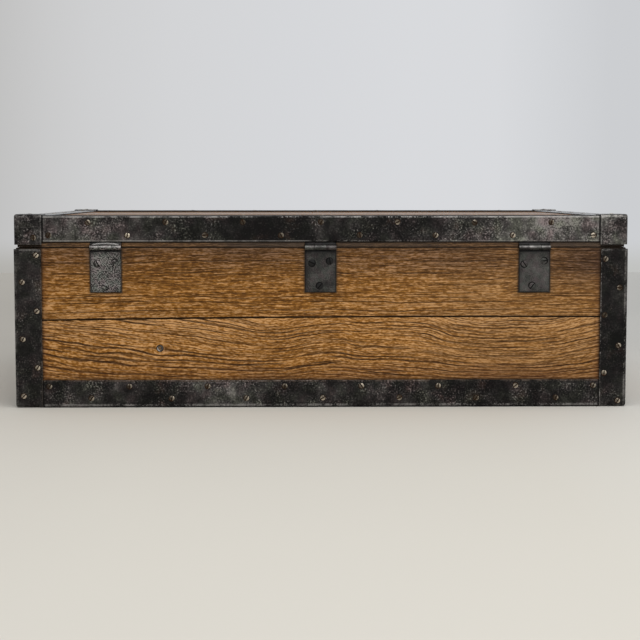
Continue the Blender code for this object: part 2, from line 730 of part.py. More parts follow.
def make_handles(iron, chest, axes):
    """A drop handle on each end. The left one is the right one turned half round."""
    plate = draw_handle_plate()
    bail = draw_bail()
    bail.materials.append(iron)
    for end, sign in (("left", -1), ("right", 1)):
        turned = math.pi if sign < 0 else 0
        wall = seat(copied(plate, f"handle_plate_{end}"), iron, chest, (sign * WOOD_X, 0, HANDLE_HEIGHT))
        wall.rotation_euler.z = turned
        swing = bpy.data.objects.new(f"handle_bail_{end}", bail)
        bpy.context.scene.collection.objects.link(swing)
        swing.parent = axes[end]
        swing.rotation_euler.z = turned
    bpy.data.objects.remove(plate)


def main():
    clear_scene()
    looks = make_materials()
    chest = make_empty("chest", (0, -ORIGIN_Y, 0))
    lid = make_empty("lid_axis", (0, HINGE_Y, HINGE_Z), chest)
    slide = make_empty("bolt_slide", (0, HOOK_MIDDLE, BOLT_TOP), chest)
    axes = {
        end: make_empty(f"bail_axis_{end}", (sign * (WOOD_X + BAIL_STANDOFF), 0, HANDLE_HEIGHT), chest)
        for end, sign in (("left", -1), ("right", 1))
    }
    make_walls(looks["oak"], chest)
    make_floor(looks["oak"], chest)
    make_corner_irons(looks["iron"], chest)
    make_base_irons(looks["iron"], chest)
    make_lid_oak(looks["oak"], lid)
    make_lid_irons(looks["iron"], lid)
    make_lid_caps(looks["iron"], lid)
    make_hinges(looks["hinge_iron"], looks["steel"], chest, lid)
    make_lock_case(looks["steel"], chest)
    make_lock_cover(looks["steel"], chest)
    make_lock_bolt(looks["brass"], slide)
    make_link_plate(looks["steel"], lid)
    make_escutcheon(looks["brass"], chest)
    make_handles(looks["iron"], chest, axes)


main()
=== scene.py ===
"""Looks of an iron-bound oak storage chest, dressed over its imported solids."""

import json
import math
import random

import bmesh
import bpy
from bpy.props import FloatProperty, FloatVectorProperty, PointerProperty
from mathutils import Matrix, Vector, noise

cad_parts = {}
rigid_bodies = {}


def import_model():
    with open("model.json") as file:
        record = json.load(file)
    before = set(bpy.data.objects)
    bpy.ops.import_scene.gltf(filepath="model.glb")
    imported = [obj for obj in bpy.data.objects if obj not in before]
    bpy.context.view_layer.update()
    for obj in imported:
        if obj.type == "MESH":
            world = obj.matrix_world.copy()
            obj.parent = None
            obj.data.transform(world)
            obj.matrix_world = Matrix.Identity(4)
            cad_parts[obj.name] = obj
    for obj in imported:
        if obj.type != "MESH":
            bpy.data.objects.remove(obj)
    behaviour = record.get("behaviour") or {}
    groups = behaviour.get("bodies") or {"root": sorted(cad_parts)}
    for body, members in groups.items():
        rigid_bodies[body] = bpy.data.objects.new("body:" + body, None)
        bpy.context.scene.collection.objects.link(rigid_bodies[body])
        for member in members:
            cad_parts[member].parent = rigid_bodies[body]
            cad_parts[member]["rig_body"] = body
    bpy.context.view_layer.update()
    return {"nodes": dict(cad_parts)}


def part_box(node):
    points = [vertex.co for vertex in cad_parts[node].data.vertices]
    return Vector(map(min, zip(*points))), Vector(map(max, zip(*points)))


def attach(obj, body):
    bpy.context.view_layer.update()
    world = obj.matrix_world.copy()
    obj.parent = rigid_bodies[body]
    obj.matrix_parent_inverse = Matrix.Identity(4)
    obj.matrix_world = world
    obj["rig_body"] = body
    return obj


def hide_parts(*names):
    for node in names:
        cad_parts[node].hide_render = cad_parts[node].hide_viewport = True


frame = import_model()

bl_info = {
    "name": "Storage chest looks",
    "version": (1, 0, 0),
    "blender": (4, 5, 0),
    "location": "View3D > Sidebar > Chest",
    "description": "Dresses the packed chest in worn oak, blackened iron and brass screws",
    "category": "Object",
}


def centre_of(node, axis):
    """The middle of a node's box along an axis."""
    low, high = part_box(node)
    return (low[axis] + high[axis]) / 2


SIDES = ("front", "back", "left", "right")
ENDS = ("left", "right")
CORNERS = [(deep, end) for deep in ("front", "back") for end in ENDS]
HINGES = ("left", "centre", "right")
CASE_CENTRE_Y = centre_of("left_lower_plank", 1)
WHITE = (1.0, 1.0, 1.0)
MILLIMETRES = 1000  # in a metre
FILM_WIDTH = 36.0  # mm

# Seed of the noise that moves the points of the metal, which otherwise starts from the time of day
STRAY_SEED = 11

# Sizes of the worked meshes, in metres
SAME_POINT = 2e-6
BOARD_CELL, IRON_CELL, LEAF_CELL = 0.014, 0.009, 0.006
IRON_RIM = 0.0024
CORNER_RADIUS = 0.0032
LEAF_EDGE, PIN_EDGE, HANDLE_EDGE = 0.00035, 0.0003, 0.0006
FINE_EDGE = (2, 0.5, 50.0)  # segments, profile and least angle of a small worn edge

# Screws and the nail: sides of their round forms, a screw's share of tarnish where it isn't known, and places
# in metres, with the heights of the upper and lower row of an iron
DOME_SIDES, RING_SIDES, NAIL_SIDES = 12, 24, 20
TARNISH = (0.15, 0.75)
SLOT_FLOOR = 0.00008
TOP_INSET, CAP_INSET = 0.019, 0.017
CAP_SCREW, CAP_HEIGHT, CAP_END_HEIGHT = 0.352, 0.209, 0.2085
SCREW_ROWS = {"base": (0.0265, 0.0115), "lid": (0.228, 0.212)}

# Rows of screws in millimetres: along Y on the ends, and along X on top of the lid's front and back
LONG_ROW, SHORT_ROW = (-225, -135, -45, 45, 135, 225), (-180, -90, 0, 90, 180)
TOP_ROW = (-288, -192, -96, 0, 96, 192, 288)

# Screws on the back irons, and turned about on the front: millimetres along X, share of tarnish and turn
# of the slot
IRON_SCREWS = {
    "base_upper": (
        (334.8, 0.62, 150), (236.8, 0.60, 170), (140.3, 0.62, 160), (45.6, 0.62, 176), (-49, 0.44, 32),
        (-143.9, 0.45, 172), (-239.6, 0.40, 126), (-335.9, 0.55, 155)),
    "base_lower": (
        (283.3, 0.52, 145), (184.8, 0.52, 168), (92.8, 0.45, 150), (-1.2, 0.35, 122), (-95.8, 0.55, 118),
        (-191.2, 0.72, 150), (-289.7, 0.66, 155)),
    "lid_upper": (
        (285.8, 0.52, 40), (190.8, 0.66, 150), (96.3, 0.95, 20), (0.8, 0.80, 150), (-92.7, 0.56, 120),
        (-187.2, 0.76, 60), (-282.2, 0.62, 165)),
    "lid_lower": (
        (333.5, 0.85, 150), (237.8, 0.20, 165), (143.4, 0.68, 100), (49.8, 0.70, 30), (-46.7, 0.85, 15),
        (-139.9, 0.55, 152), (-234.8, 0.34, 150), (-333.8, 0.30, 96)),
}

# Screws of the corner irons: millimetres along Z and X, share of tarnish and turn of the slot
CORNER_SCREWS = {
    "right": (
        (187.8, 349, 0.26, 140), (154.9, 366.5, 0.42, 150), (119.2, 349, 0.34, 135), (84.7, 366.5, 0.38, 150),
        (49.5, 349, 0.34, 150), (14.4, 366.5, 0.30, 135)),
    "left": (
        (182.8, 349, 0.52, 150), (147.4, 366.5, 0.68, 92), (113.6, 349, 0.86, 150), (76, 366.5, 0.48, 30),
        (42.3, 349, 0.42, 178), (7.4, 366.5, 0.40, 150)),
}

# Screws of the hinges: metres from the leaf's middle and foot, share of tarnish and turn of the slot
HINGE_SCREWS = {
    "right": ((0.0098, 0.0355, 1.15, 30), (-0.0110, 0.0362, 0.05, 120), (0.0010, 0.0075, 0.0, 60)),
    "centre": ((0.0108, 0.0364, 0.90, 65), (-0.0115, 0.0382, 0.90, 10), (0.0008, 0.0078, 0.90, 140)),
    "left": ((0.0122, 0.0350, 0.75, 35), (-0.0113, 0.0385, 0.40, 95), (0.0022, 0.0078, 0.65, 140)),
}

# Marks of the lower back board along X and Z: its nail, and the points and width of each split
NAIL = (0.1992, 0.0731)
SPLITS = (
    (((0.040, 0.0545), (0.0811, 0.0529), (0.118, 0.0520)), 0.0011),
    (((-0.030, 0.0540), (-0.0151, 0.0551), (0.0133, 0.0514), (0.0550, 0.0448)), 0.0010),
    (((-0.113, 0.0371), (-0.0790, 0.0417), (-0.0480, 0.0452)), 0.0010),
)

# Curves over the chest's length, from 0 at its left to 1: the rise of the lower back board's grain, and how
# much more or less than half the irons are rubbed
GRAIN_PATH = (
    (0.0, 0.635), (0.085, 0.43), (0.13, 0.315), (0.17, 0.28), (0.225, 0.275), (0.275, 0.33), (0.34, 0.47),
    (0.40, 0.50), (0.44, 0.50), (0.475, 0.545), (0.52, 0.51), (0.58, 0.435), (0.64, 0.50), (0.70, 0.60),
    (0.80, 0.70), (0.90, 0.80), (1.0, 0.955))
RUBBED = {
    "lid": (
        (0.0, 0.66), (0.12, 0.62), (0.22, 0.60), (0.32, 0.44), (0.385, 0.16), (0.47, 0.06), (0.503, 0.34),
        (0.54, 0.08), (0.62, 0.16), (0.70, 0.44), (0.82, 0.50), (0.93, 0.48), (1.0, 0.46)),
    "base": (
        (0.0, 0.36), (0.25, 0.36), (0.40, 0.42), (0.50, 0.52), (0.62, 0.52), (0.75, 0.48), (0.92, 0.50),
        (1.0, 0.48)),
    "corner": ((0.0, 0.26), (0.4, 0.34), (0.6, 0.46), (1.0, 0.46)),
    "cap": ((0.0, 0.60), (0.4, 0.56), (0.6, 0.42), (1.0, 0.42)),
}


def colour(title, about, value):
    """A colour that the user may change."""
    return FloatVectorProperty(
        name=title, description=about, subtype="COLOR", size=3, min=0.0, max=1.0, default=value)


def number(title, about, value, least=0.0, **limits):
    """A number that the user may change."""
    return FloatProperty(name=title, description=about, min=least, default=value, **limits)


def length(title, about, value, most):
    """A length in metres that the user may change."""
    return number(title, about, value, max=most, unit="LENGTH", precision=5)


class OakLook(bpy.types.PropertyGroup):
    """Colours and edges of the oak boards."""

    pale: colour("Pale oak", "Pale flecks between the pores", (0.580, 0.308, 0.120))
    honey: colour("Honey oak", "Body colour of the boards", (0.305, 0.127, 0.0175))
    brown: colour("Brown oak", "Darker bands of the boards", (0.150, 0.056, 0.0075))
    pore: colour("Pores", "Dark lines of open pores", (0.030, 0.012, 0.004))
    red: colour("Red stain", "Stain beside the irons", (0.105, 0.034, 0.012))
    # Dirt, and painted shade beside the irons, under the lid, in screw slots and round screw heads and the
    # nail.
    grime_and_shade: colour("Grime", "Old dirt beside irons and in seams", (0.016, 0.010, 0.006))
    # Multiplier for painted shade and dirt under the lid, and for the stain beside the nail.
    shadow: colour("Old shadow", "What is left of the oak's colour where it darkened", (0.36, 0.37, 0.56))
    # Dark brown for painted shade and dirt round the hinge leaves, and for oak where the lid's wax wore off.
    umber: colour("Umber", "Darkened oak under the lid and beside the hinges", (0.052, 0.032, 0.018))
    # Dust and painted shade on the lid rails, and dirt on the nail's head.
    dust_and_shade: colour("Dust", "Grey dirt on the lid's lower edge", (0.054, 0.041, 0.032))
    inside: colour("Bare oak", "Unpolished oak inside the chest", (0.230, 0.135, 0.062))
    ease: length("Board edge", "Width of the worn edge of a board", 0.0011, 0.004)


class IronLook(bpy.types.PropertyGroup):
    """Colours and edges of the irons, hinges, lock and handles."""

    # Also laid on as painted shade on the hinges and on the end irons' inner flanges.
    black: colour("Black iron", "Old oxide that covers most of the irons", (0.0052, 0.0048, 0.0046))
    grey: colour("Rubbed iron", "Places rubbed to a dull grey", (0.250, 0.236, 0.222))
    # Bare metal where worn, and painted highlights on iron edges, cap tops, hinge barrels and the nail's head.
    silver_and_highlight: colour("Bright iron", "Bare metal on edges and worn spots", (0.42, 0.40, 0.38))
    rust: colour("Rust", "Brown tinge of old rust", (0.050, 0.028, 0.018))
    tan: colour("Tan dirt", "Dry dirt on the edges beside the oak", (0.110, 0.075, 0.052))
    ease: length("Iron edge", "Width of the worn edge of an iron", 0.0010, 0.003)
    wander: length("Unevenness", "How far hand-worked iron strays from true", 0.00016, 0.0003)


class ScrewLook(bpy.types.PropertyGroup):
    """Sizes and colours of the screws."""

    brass: colour("Brass", "Rubbed brass of a screw head", (0.60, 0.52, 0.41))
    tarnish: colour("Tarnish", "Darkened brass", (0.052, 0.041, 0.029))
    head: length("Head radius", "Radius of a brass screw head", 0.0031, 0.01)
    slot: length("Slot width", "Width of the driver slot", 0.0014, 0.003)
    depth: length("Slot depth", "Depth of the driver slot", 0.0009, 0.003)
    proud: length("Proud", "How far a head's dome stands out", 0.00045, 0.002)
    hinge_head: length("Hinge screw radius", "Radius of a hinge screw head", 0.0040, 0.01)


class StageLook(bpy.types.PropertyGroup):
    """Floor, light and camera."""

    floor: colour("Floor", "Pale warm floor", (0.60, 0.57, 0.51))
    clouds: colour("Clouds", "Darker clouds on the floor", (0.45, 0.43, 0.40))
    top_light: number("Top light", "Power of the panel overhead", 24.0, unit="POWER")
    front_light: number("Front light", "Power of the panel by the camera", 15.0, unit="POWER")
    sky: number("Sky", "Strength of the even light all round", 0.60)
    lens: number("Lens", "Focal length on a 36 mm frame", 84.41, 1.0, unit="CAMERA")
    eye: FloatVectorProperty(
        name="Eye", description="Where the camera stands", subtype="TRANSLATION", size=3,
        default=(0.0340, 2.1056, 0.2645))
    aim: FloatVectorProperty(
        name="Aim", description="Turn of the camera", subtype="EULER", size=3,
        default=(math.radians(85.133), 0.0, math.radians(179.012)))


def operation(kind, turned=False):
    """A method of Value that adds a Math node; turned is for a plain number on the left."""

    def method(self, *other):
        return self.finish.sum(kind, *((*other, self) if turned else (self, *other)))

    return method


class Value:
    """A number that changes over a surface. Sums of values add the nodes that work them out."""

    def __init__(self, finish, socket):
        self.finish, self.socket = finish, socket

    __add__, __radd__ = operation("ADD"), operation("ADD", True)
    __sub__, __rsub__ = operation("SUBTRACT"), operation("SUBTRACT", True)
    __mul__, __rmul__ = operation("MULTIPLY"), operation("MULTIPLY", True)
    __truediv__, __rtruediv__ = operation("DIVIDE"), operation("DIVIDE", True)
    __pow__, __rpow__ = operation("POWER"), operation("POWER", True)
    __abs__ = operation("ABSOLUTE")
    least, most = operation("MINIMUM"), operation("MAXIMUM")

    def __neg__(self):
        return self * -1.0

    def rise(self, start, end):
        """0 before start, 1 after end and smooth between; start may lie above end."""
        low, high = (start, end) if start < end else (end, start)
        made = self.finish.node(
            "ShaderNodeMapRange", {"interpolation_type": "SMOOTHSTEP"},
            {"Value": self, "From Min": low, "From Max": high})
        return made if start < end else 1.0 - made

    def between(self, low, high, soft):
        """1 from low to high, and falling to 0 over a soft edge outside."""
        return self.rise(low - soft, low) * self.rise(high + soft, high)


class Finish:
    """A material, the nodes that make it and its colour so far."""

    def __init__(self, name):
        self.shade = WHITE
        self.material = bpy.data.materials.new(name)
        self.material.use_nodes = True
        self.tree = self.material.node_tree
        self.tree.nodes.clear()

    def node(self, kind, settings=None, sockets=None, out=0):
        """One node: its settings come first, then the values or links of its sockets. Gives one output or
        several."""
        made = self.tree.nodes.new(kind)
        for key, value in (settings or {}).items():
            if key == "stops":
                ramp = made.color_ramp.elements
                while len(ramp) < len(value):
                    ramp.new(0.5)
                for stop, (place, shade) in zip(ramp, value):
                    stop.position, stop.color = place, (*shade, 1.0)
            elif key == "points":
                line = made.mapping.curves[0].points
                while len(line) < len(value):
                    line.new(0.5, 0.5)
                for point, place in zip(line, value):
                    point.location = place
                made.mapping.update()
            else:
                setattr(made, key, value)
        for key, value in (sockets or {}).items():
            socket = made.inputs[key]
            if isinstance(value, Value):
                self.tree.links.new(value.socket, socket)
            elif socket.type == "RGBA":
                socket.default_value = (*value[:3], 1.0)
            else:
                socket.default_value = value
        if isinstance(out, tuple):
            return tuple(Value(self, made.outputs[key]) for key in out)
        return Value(self, made.outputs[out]) if made.outputs else made

    def sum(self, kind, *terms):
        """A Math node."""
        return self.node("ShaderNodeMath", {"operation": kind}, dict(enumerate(terms)))

    def place(self):
        """The point on the piece, in metres, as a vector and as three values."""
        point = self.node("ShaderNodeTexCoord", out="Object")
        return point, *self.node("ShaderNodeSeparateXYZ", sockets={0: point}, out=(0, 1, 2))

    def grain(self, point, scale=1.0, detail=2.0, roughness=0.5):
        """Smooth random values about 0.5, by a vector or by three values."""
        if isinstance(point, tuple):
            point = self.node("ShaderNodeCombineXYZ", sockets=dict(enumerate(point)))
        sockets = {"Vector": point, "Scale": scale, "Detail": detail, "Roughness": roughness}
        return self.node("ShaderNodeTexNoise", sockets=sockets, out="Fac")

    def mark(self, name):
        """A value stored on the mesh."""
        return self.node("ShaderNodeAttribute", {"attribute_name": name}, out="Fac")

    def curve(self, share, points):
        """A value from a smooth line through points."""
        return self.node("ShaderNodeFloatCurve", {"points": points}, {"Value": share})

    def spot(self, run, wide, up, tall):
        """1 at a point and falling to 0 round it; run and up are the distances from it."""
        return self.sum("EXPONENT", -((run / wide) ** 2.0 + (up / tall) ** 2.0))

    def blend(self, share, first, second):
        """A colour between two colours."""
        return self.node("ShaderNodeMix", {"data_type": "RGBA"}, {0: share, 6: first, 7: second}, 2)

    def coat(self, share, colour):
        """Covers a share of the finish with a colour."""
        self.shade = self.blend(share, self.shade, colour)

    def tint(self, colour):
        """Multiplies the finish by a colour."""
        settings = {"data_type": "RGBA", "blend_type": "MULTIPLY"}
        self.shade = self.node("ShaderNodeMix", settings, {0: 1.0, 6: self.shade, 7: colour}, 2)

    def darken(self, share, colour):
        """Multiplies a share of the finish by a colour."""
        self.tint(self.blend(share, WHITE, colour))

    def ramp(self, share, stops):
        """A colour from a row of stops."""
        return self.node("ShaderNodeValToRGB", {"stops": stops}, {0: share})

    def cast(self, point, scale, hues):
        """Gives the finish a faint cast that wanders between three hues."""
        stops = list(zip((0.36, 0.5, 0.64), hues))
        self.tint(self.ramp(self.grain(point, scale, 1.0), stops))

    def bump(self, height, distance, strength):
        """A surface direction from a height."""
        sockets = {"Height": height, "Distance": distance, "Strength": strength}
        return self.node("ShaderNodeBump", sockets=sockets, out="Normal")

    def surface(self, **sockets):
        """The shader and the output. Socket names are written with underscores."""
        named = {key.replace("_", " ").title().replace("Ior", "IOR"): value for key, value in sockets.items()}
        shader = self.node("ShaderNodeBsdfPrincipled", sockets={"Base Color": self.shade, **named})
        self.node("ShaderNodeOutputMaterial", sockets={"Surface": shader})
        return self.material


def offsets(node, corner):
    """How far the lowest (0) or highest (1) corner of a node's box is from the case's middle in X and Y."""
    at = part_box(node)[corner]
    return at.x, at.y - CASE_CENTRE_Y


def leaf_outline(hinge):
    """The middle, half width and foot of a hinge's lower leaf."""
    low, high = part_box(f"hinge_lower_leaf_{hinge}")
    return (low.x + high.x) / 2, (high.x - low.x) / 2, low.z


def unit(axis, way=1.0):
    """A unit vector along an axis, or against it."""
    made = Vector((0.0, 0.0, 0.0))
    made[axis] = way
    return made


def facing(node, side):
    """The way that a side of a node faces, and where along that axis it stands."""
    axis, far = (0 if side in ENDS else 1), side in ("back", "right")
    return unit(axis, 1.0 if far else -1.0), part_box(node)[far][axis]


def settle(shape):
    """Puts points, edges and faces in an order that follows from their places, the same in each run."""
    for rank, point in enumerate(sorted(shape.verts, key=lambda point: point.co[:])):
        point.index = rank
    shape.verts.sort()
    for parts in (shape.edges, shape.faces):
        ranked = sorted(parts, key=lambda part: sorted(point.index for point in part.verts))
        for rank, part in enumerate(ranked):
            part.index = rank
        parts.sort()


def solid_of(node, ease, segments=3, profile=0.66, sharpest=40.0):
    """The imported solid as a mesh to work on, with its points joined, its flat faces whole and its outward
    edges worn round."""
    shape = bmesh.new()
    shape.from_mesh(frame["nodes"][node].data)
    bmesh.ops.remove_doubles(shape, verts=shape.verts[:], dist=SAME_POINT)
    bmesh.ops.dissolve_limit(
        shape, angle_limit=math.radians(0.5), verts=shape.verts[:], edges=shape.edges[:])
    if ease > 0:
        edges = [edge for edge in shape.edges
                 if edge.is_manifold and edge.calc_face_angle_signed() > math.radians(sharpest)]
        bmesh.ops.bevel(
            shape, geom=edges, offset=ease, offset_type="OFFSET", segments=segments, profile=profile,
            affect="EDGES", clamp_overlap=True)
    settle(shape)
    return shape


def slice_up(shape, pitch, rim=0.0):
    """Cuts the faces into cells, so that a flat face can be moved in parts. Pitch has a length for each axis,
    and rim is how far inside the outer sides one more cut runs."""
    for axis, step in enumerate(pitch):
        if not step:
            continue
        low = min(point.co[axis] for point in shape.verts)
        high = max(point.co[axis] for point in shape.verts)
        count = max(1, round((high - low) / step))
        cuts = [low + (high - low) * index / count for index in range(1, count)]
        if rim:
            cuts += [low + rim, high - rim]
        for cut in cuts:
            bmesh.ops.bisect_plane(
                shape, geom=shape.verts[:] + shape.edges[:] + shape.faces[:], dist=SAME_POINT,
                plane_co=unit(axis, cut), plane_no=unit(axis))


def stray(shape, amount):
    """Moves every point a little, the same way for neighbouring pieces, as hand-worked metal lies."""
    noise.seed_set(STRAY_SEED)
    for point in shape.verts:
        swell, dent = noise.noise_vector(point.co * 24.0), noise.noise_vector(point.co * 71.0)
        point.co += (swell * 0.6 + dent * 0.4) * amount


def mark_wear(shape):
    """Stores how sharp the outward edge at each point is."""
    layer = shape.verts.layers.float.new("wear")
    for point in shape.verts:
        edges = [edge for edge in point.link_edges if edge.is_manifold]
        turn = max((edge.calc_face_angle_signed(0.0) for edge in edges), default=0.0)
        point[layer] = min(1.0, max(0.0, turn - 0.10) / 0.45)


def mark_all(shape, name, value):
    """Stores one value on the whole piece."""
    layer = shape.verts.layers.float.new(name)
    for point in shape.verts:
        point[layer] = value


def piece_from(shape, name, body, finishes, nodes=(), smooth=38.0):
    """Makes the piece that the shape has become and joins it to the frame."""
    settle(shape)
    mesh = bpy.data.meshes.new(name)
    shape.to_mesh(mesh)
    shape.free()
    mesh.shade_smooth()
    mesh.set_sharp_from_angle(angle=math.radians(smooth))
    for finish in finishes:
        mesh.materials.append(finish)
    piece = bpy.data.objects.new(name, mesh)
    bpy.context.scene.collection.objects.link(piece)
    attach(piece, body)
    if nodes:
        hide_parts(*nodes)


def body_of(node):
    """The body that carries a node."""
    return frame["nodes"][node]["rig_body"]


def worn_piece(shape, node, finish, suffix="worn"):
    """Makes the piece that stands for a metal node, with the wear of its edges."""
    mark_wear(shape)
    piece_from(shape, f"{node}_{suffix}", body_of(node), [finish], [node])


def oak_finish(name, along, look, line_share, spacing, reach=0.060, sway=1.0, flow=None, window=None,
               seam=0.0, slope=None, rim=None, splits=(), stain_and_shade_spots=(), plates=(), faded=0.0, bare=False,
               lift=0.0, gloss=0.52, wax=None):
    """Old oak with its grain in rows. Along is the axis of the grain, sway and flow bend it, and window is
    the part that shows between the irons. Seam is the height of the joint between two boards and slope how it
    leans, rim the edges of a lid rail, and wax the share of polish with the two distances from the middle
    between which it wears off."""
    finish = Finish(name)
    _, x, y, z = finish.place()
    board = finish.mark("board")
    y = y - CASE_CENTRE_Y
    run, side, up = (x, y, z) if along == "x" else (y, x, z)
    start = run + board * 1.7
    slow = finish.grain((start * 5.0, side * 16.0, up * 16.0), detail=1.0)
    quick = finish.grain((start * 26.0, side * 55.0, up * 55.0))
    across = up + side + ((slow - 0.5) * 0.016 + (quick - 0.5) * 0.0046) * sway
    if flow:
        across = across - flow(finish, run, up)

    def streaks(shift, long, gap, detail=1.0, roughness=0.5):
        return finish.grain((start / long + shift, across / gap, board), 1.0, detail, roughness)

    def rows(gap, long, shift, dashed):
        """Dark lines in rows that never cross, each broken into dashes that taper. Gives them and each row's
        chance."""
        count = across / gap + shift
        row = finish.sum("FLOOR", count)
        chance = finish.node(
            "ShaderNodeTexWhiteNoise", {"noise_dimensions": "1D"}, {"W": row + shift}, "Value")
        drift = finish.grain((start / (long * 0.5), row * 3.7, board + shift), detail=1.0)
        dash = finish.grain((start / long, row * 5.3 + 1.7, board + shift), roughness=0.4)
        dash = (dash + (chance - 0.5) * 0.16).rise(dashed - 0.10, dashed + 0.08)
        off = abs(finish.sum("FRACT", count) - 0.30 - chance * 0.40 - (drift - 0.5) * 0.9)
        return ((1.0 - off / (0.08 + dash * 0.19)).most(0.0) * 1.7).least(1.0) * dash, chance

    bold, chance = rows(spacing, reach, 0.0, 0.50)
    comb, _ = rows(spacing * 0.56, reach * 0.42, 21.4, 0.46)
    fine = streaks(13.0, 0.012, 0.0015, 2.0, 0.6)
    fleck = streaks(29.0, 0.0044, 0.0017)
    soft = streaks(5.0, 0.045, spacing * 0.9)
    bands = streaks(17.0, 0.60, spacing * 7.0, 2.0)
    patch = finish.grain((start * 4.5, side * 11.0, up * 11.0))
    soil = patch.rise(0.36, 0.62)
    hair = fine.rise(0.47, 0.33)
    tone = 0.5 + lift + (bands - 0.5) * 0.45 + (patch - 0.5) * 0.55 + (soft - 0.5) * 0.65
    tone = tone + (fine - 0.5) * 2.0 + (fleck - 0.5) * 1.7
    joint = seam + slope(run) if slope else seam
    if window:
        tone = tone + (up - joint).rise(0.045, 0.012) * (up - joint).rise(-0.032, -0.004) * 0.11
    body = look.inside if bare else look.honey
    finish.shade = finish.ramp(tone, [(0.10, look.brown), (0.50, body), (0.98, look.pale)])
    if faded:
        finish.coat(run.rise(-0.06, -0.22) * faded, look.inside)
    finish.coat(hair * 0.45, look.brown)
    finish.coat(comb * line_share * 0.66, look.pore)
    finish.coat(bold * line_share * (0.45 + chance * 0.55), look.pore)
    if window:
        half, low, high, skin = window
        outer = abs(side).rise(skin - 0.006, skin - 0.002)
        out = abs(run) / half
        foot = up.rise(low + 0.032, low)
        red = out.rise(0.965, 1.0) * 0.34 + foot * (0.22 + soil * 0.38)
        finish.coat(red * outer, look.red)
        # Painted shade under the lid, growing towards the board's top.
        shaded = up.rise(high - 0.052, high - 0.012) * (0.50 + soil * 0.24)
        finish.darken(shaded * outer, look.shadow)
        # Dark spots: the stain beside the nail, and painted shade and dirt under the lid's edge.
        for at, above, wide, tall, depth in stain_and_shade_spots:
            share = finish.spot(run - at, wide, up - above, tall) * (0.52 + soil * 0.36) * depth
            finish.darken(share * outer, look.shadow)
        # Painted shade and dirt round the hinge leaves.
        for middle, wide, bottom in plates:
            off = (abs(run - middle) - wide).most(bottom - up)
            share = off.rise(0.0024, 0.0004) * 0.62 + off.rise(0.012, 0.001) * soil * 0.30
            finish.coat(share * outer, look.umber)
        # Painted shade and dirt beside the irons and under the lid.
        shade_by_irons = out.rise(0.990, 1.0).most(up.rise(low + 0.0035, low))
        edge = up.rise(high - 0.010, high) * (0.16 + soil * 0.20) + shade_by_irons * 0.62
        finish.coat(edge * outer, look.grime_and_shade)
        # Painted shade under the lid's edge and beyond the irons' edges, and the dark joint between the boards.
        dark = up.rise(high - 0.0010, high - 0.0004).most(out.rise(1.0, 1.004)) * outer
        finish.coat(dark.most(abs(up - joint).rise(0.0016, 0.0006)) * 0.93, look.grime_and_shade)
    if rim:
        strap, under, capped, skin = rim
        outer = abs(side).rise(skin - 0.004, skin - 0.001)
        # Dust and painted shade over the rail's outer face.
        finish.coat((0.64 + soil * 0.28) * outer, look.dust_and_shade)
        # Painted shadow under the strap and beside the caps, and the dark joint at the rail's foot.
        dark = up.rise(strap - 0.0026, strap - 0.0012).most(up.rise(under + 0.0004, under + 0.0001))
        dark = dark.most(abs(run).rise(capped - 0.001, capped + 0.0015)) * outer
        finish.coat(dark * 0.93, look.grime_and_shade)
    polish = 0.0
    if wax:
        gleam, near, far = wax
        kept = (abs(side + 0.035) + (patch - 0.5) * 0.12).rise(far, near)
        finish.coat((1.0 - kept) * 0.46, look.umber)
        polish = kept * gleam
    height = 0.6 - bold * 0.7 - comb * 0.35 - hair * 0.25 + (soft - 0.5) * 0.5
    if splits:
        cut = split_lines(finish, splits, run, up + (quick - 0.5) * 0.0022)
        finish.coat(cut * 0.88, look.pore)
        height = height - cut
    return finish.surface(
        roughness=gloss + bold * 0.25 + (0.5 - tone) * 0.10, specular_ior_level=0.14,
        coat_weight=polish, coat_roughness=0.28, normal=finish.bump(height, 0.0009, 0.9))


def split_lines(finish, splits, run, up):
    """1 in the splits of a board, each a line through points that narrows at both ends."""
    lowest, tall = 0.03, 0.08
    cut = 0.0
    for points, width in splits:
        first, last = points[0][0], points[-1][0]
        share = (run - first) * (1.0 / (last - first))
        path = [((at - first) / (last - first), (height - lowest) / tall) for at, height in points]
        gape = abs(up - (finish.curve(share, path) * tall + lowest)).rise(width, width * 0.25)
        cut = (gape * share.rise(0.0, 0.22) * share.rise(1.0, 0.80)).most(cut)
    return cut


def lower_back_flow(finish, run, up):
    """The grain of the lower back board: falling, humped in the middle and sweeping up at one end, round a
    nail."""
    swing = finish.curve(run / 0.75 + 0.5, GRAIN_PATH)
    lift = (swing - 0.5) * 0.080 * (0.22 + up.rise(0.018, 0.100) * 0.78)
    off_run, off_up = run - NAIL[0], up - NAIL[1]
    return lift + off_up * finish.spot(off_run, 0.020, off_up, 0.010) * 0.75


def iron_steps(look):
    """Iron from black to rubbed grey, in steps of equal ratio."""
    return [(step / 4, tuple(dark * (pale / dark) ** (step / 4) for dark, pale in zip(look.black, look.grey)))
            for step in range(5)]


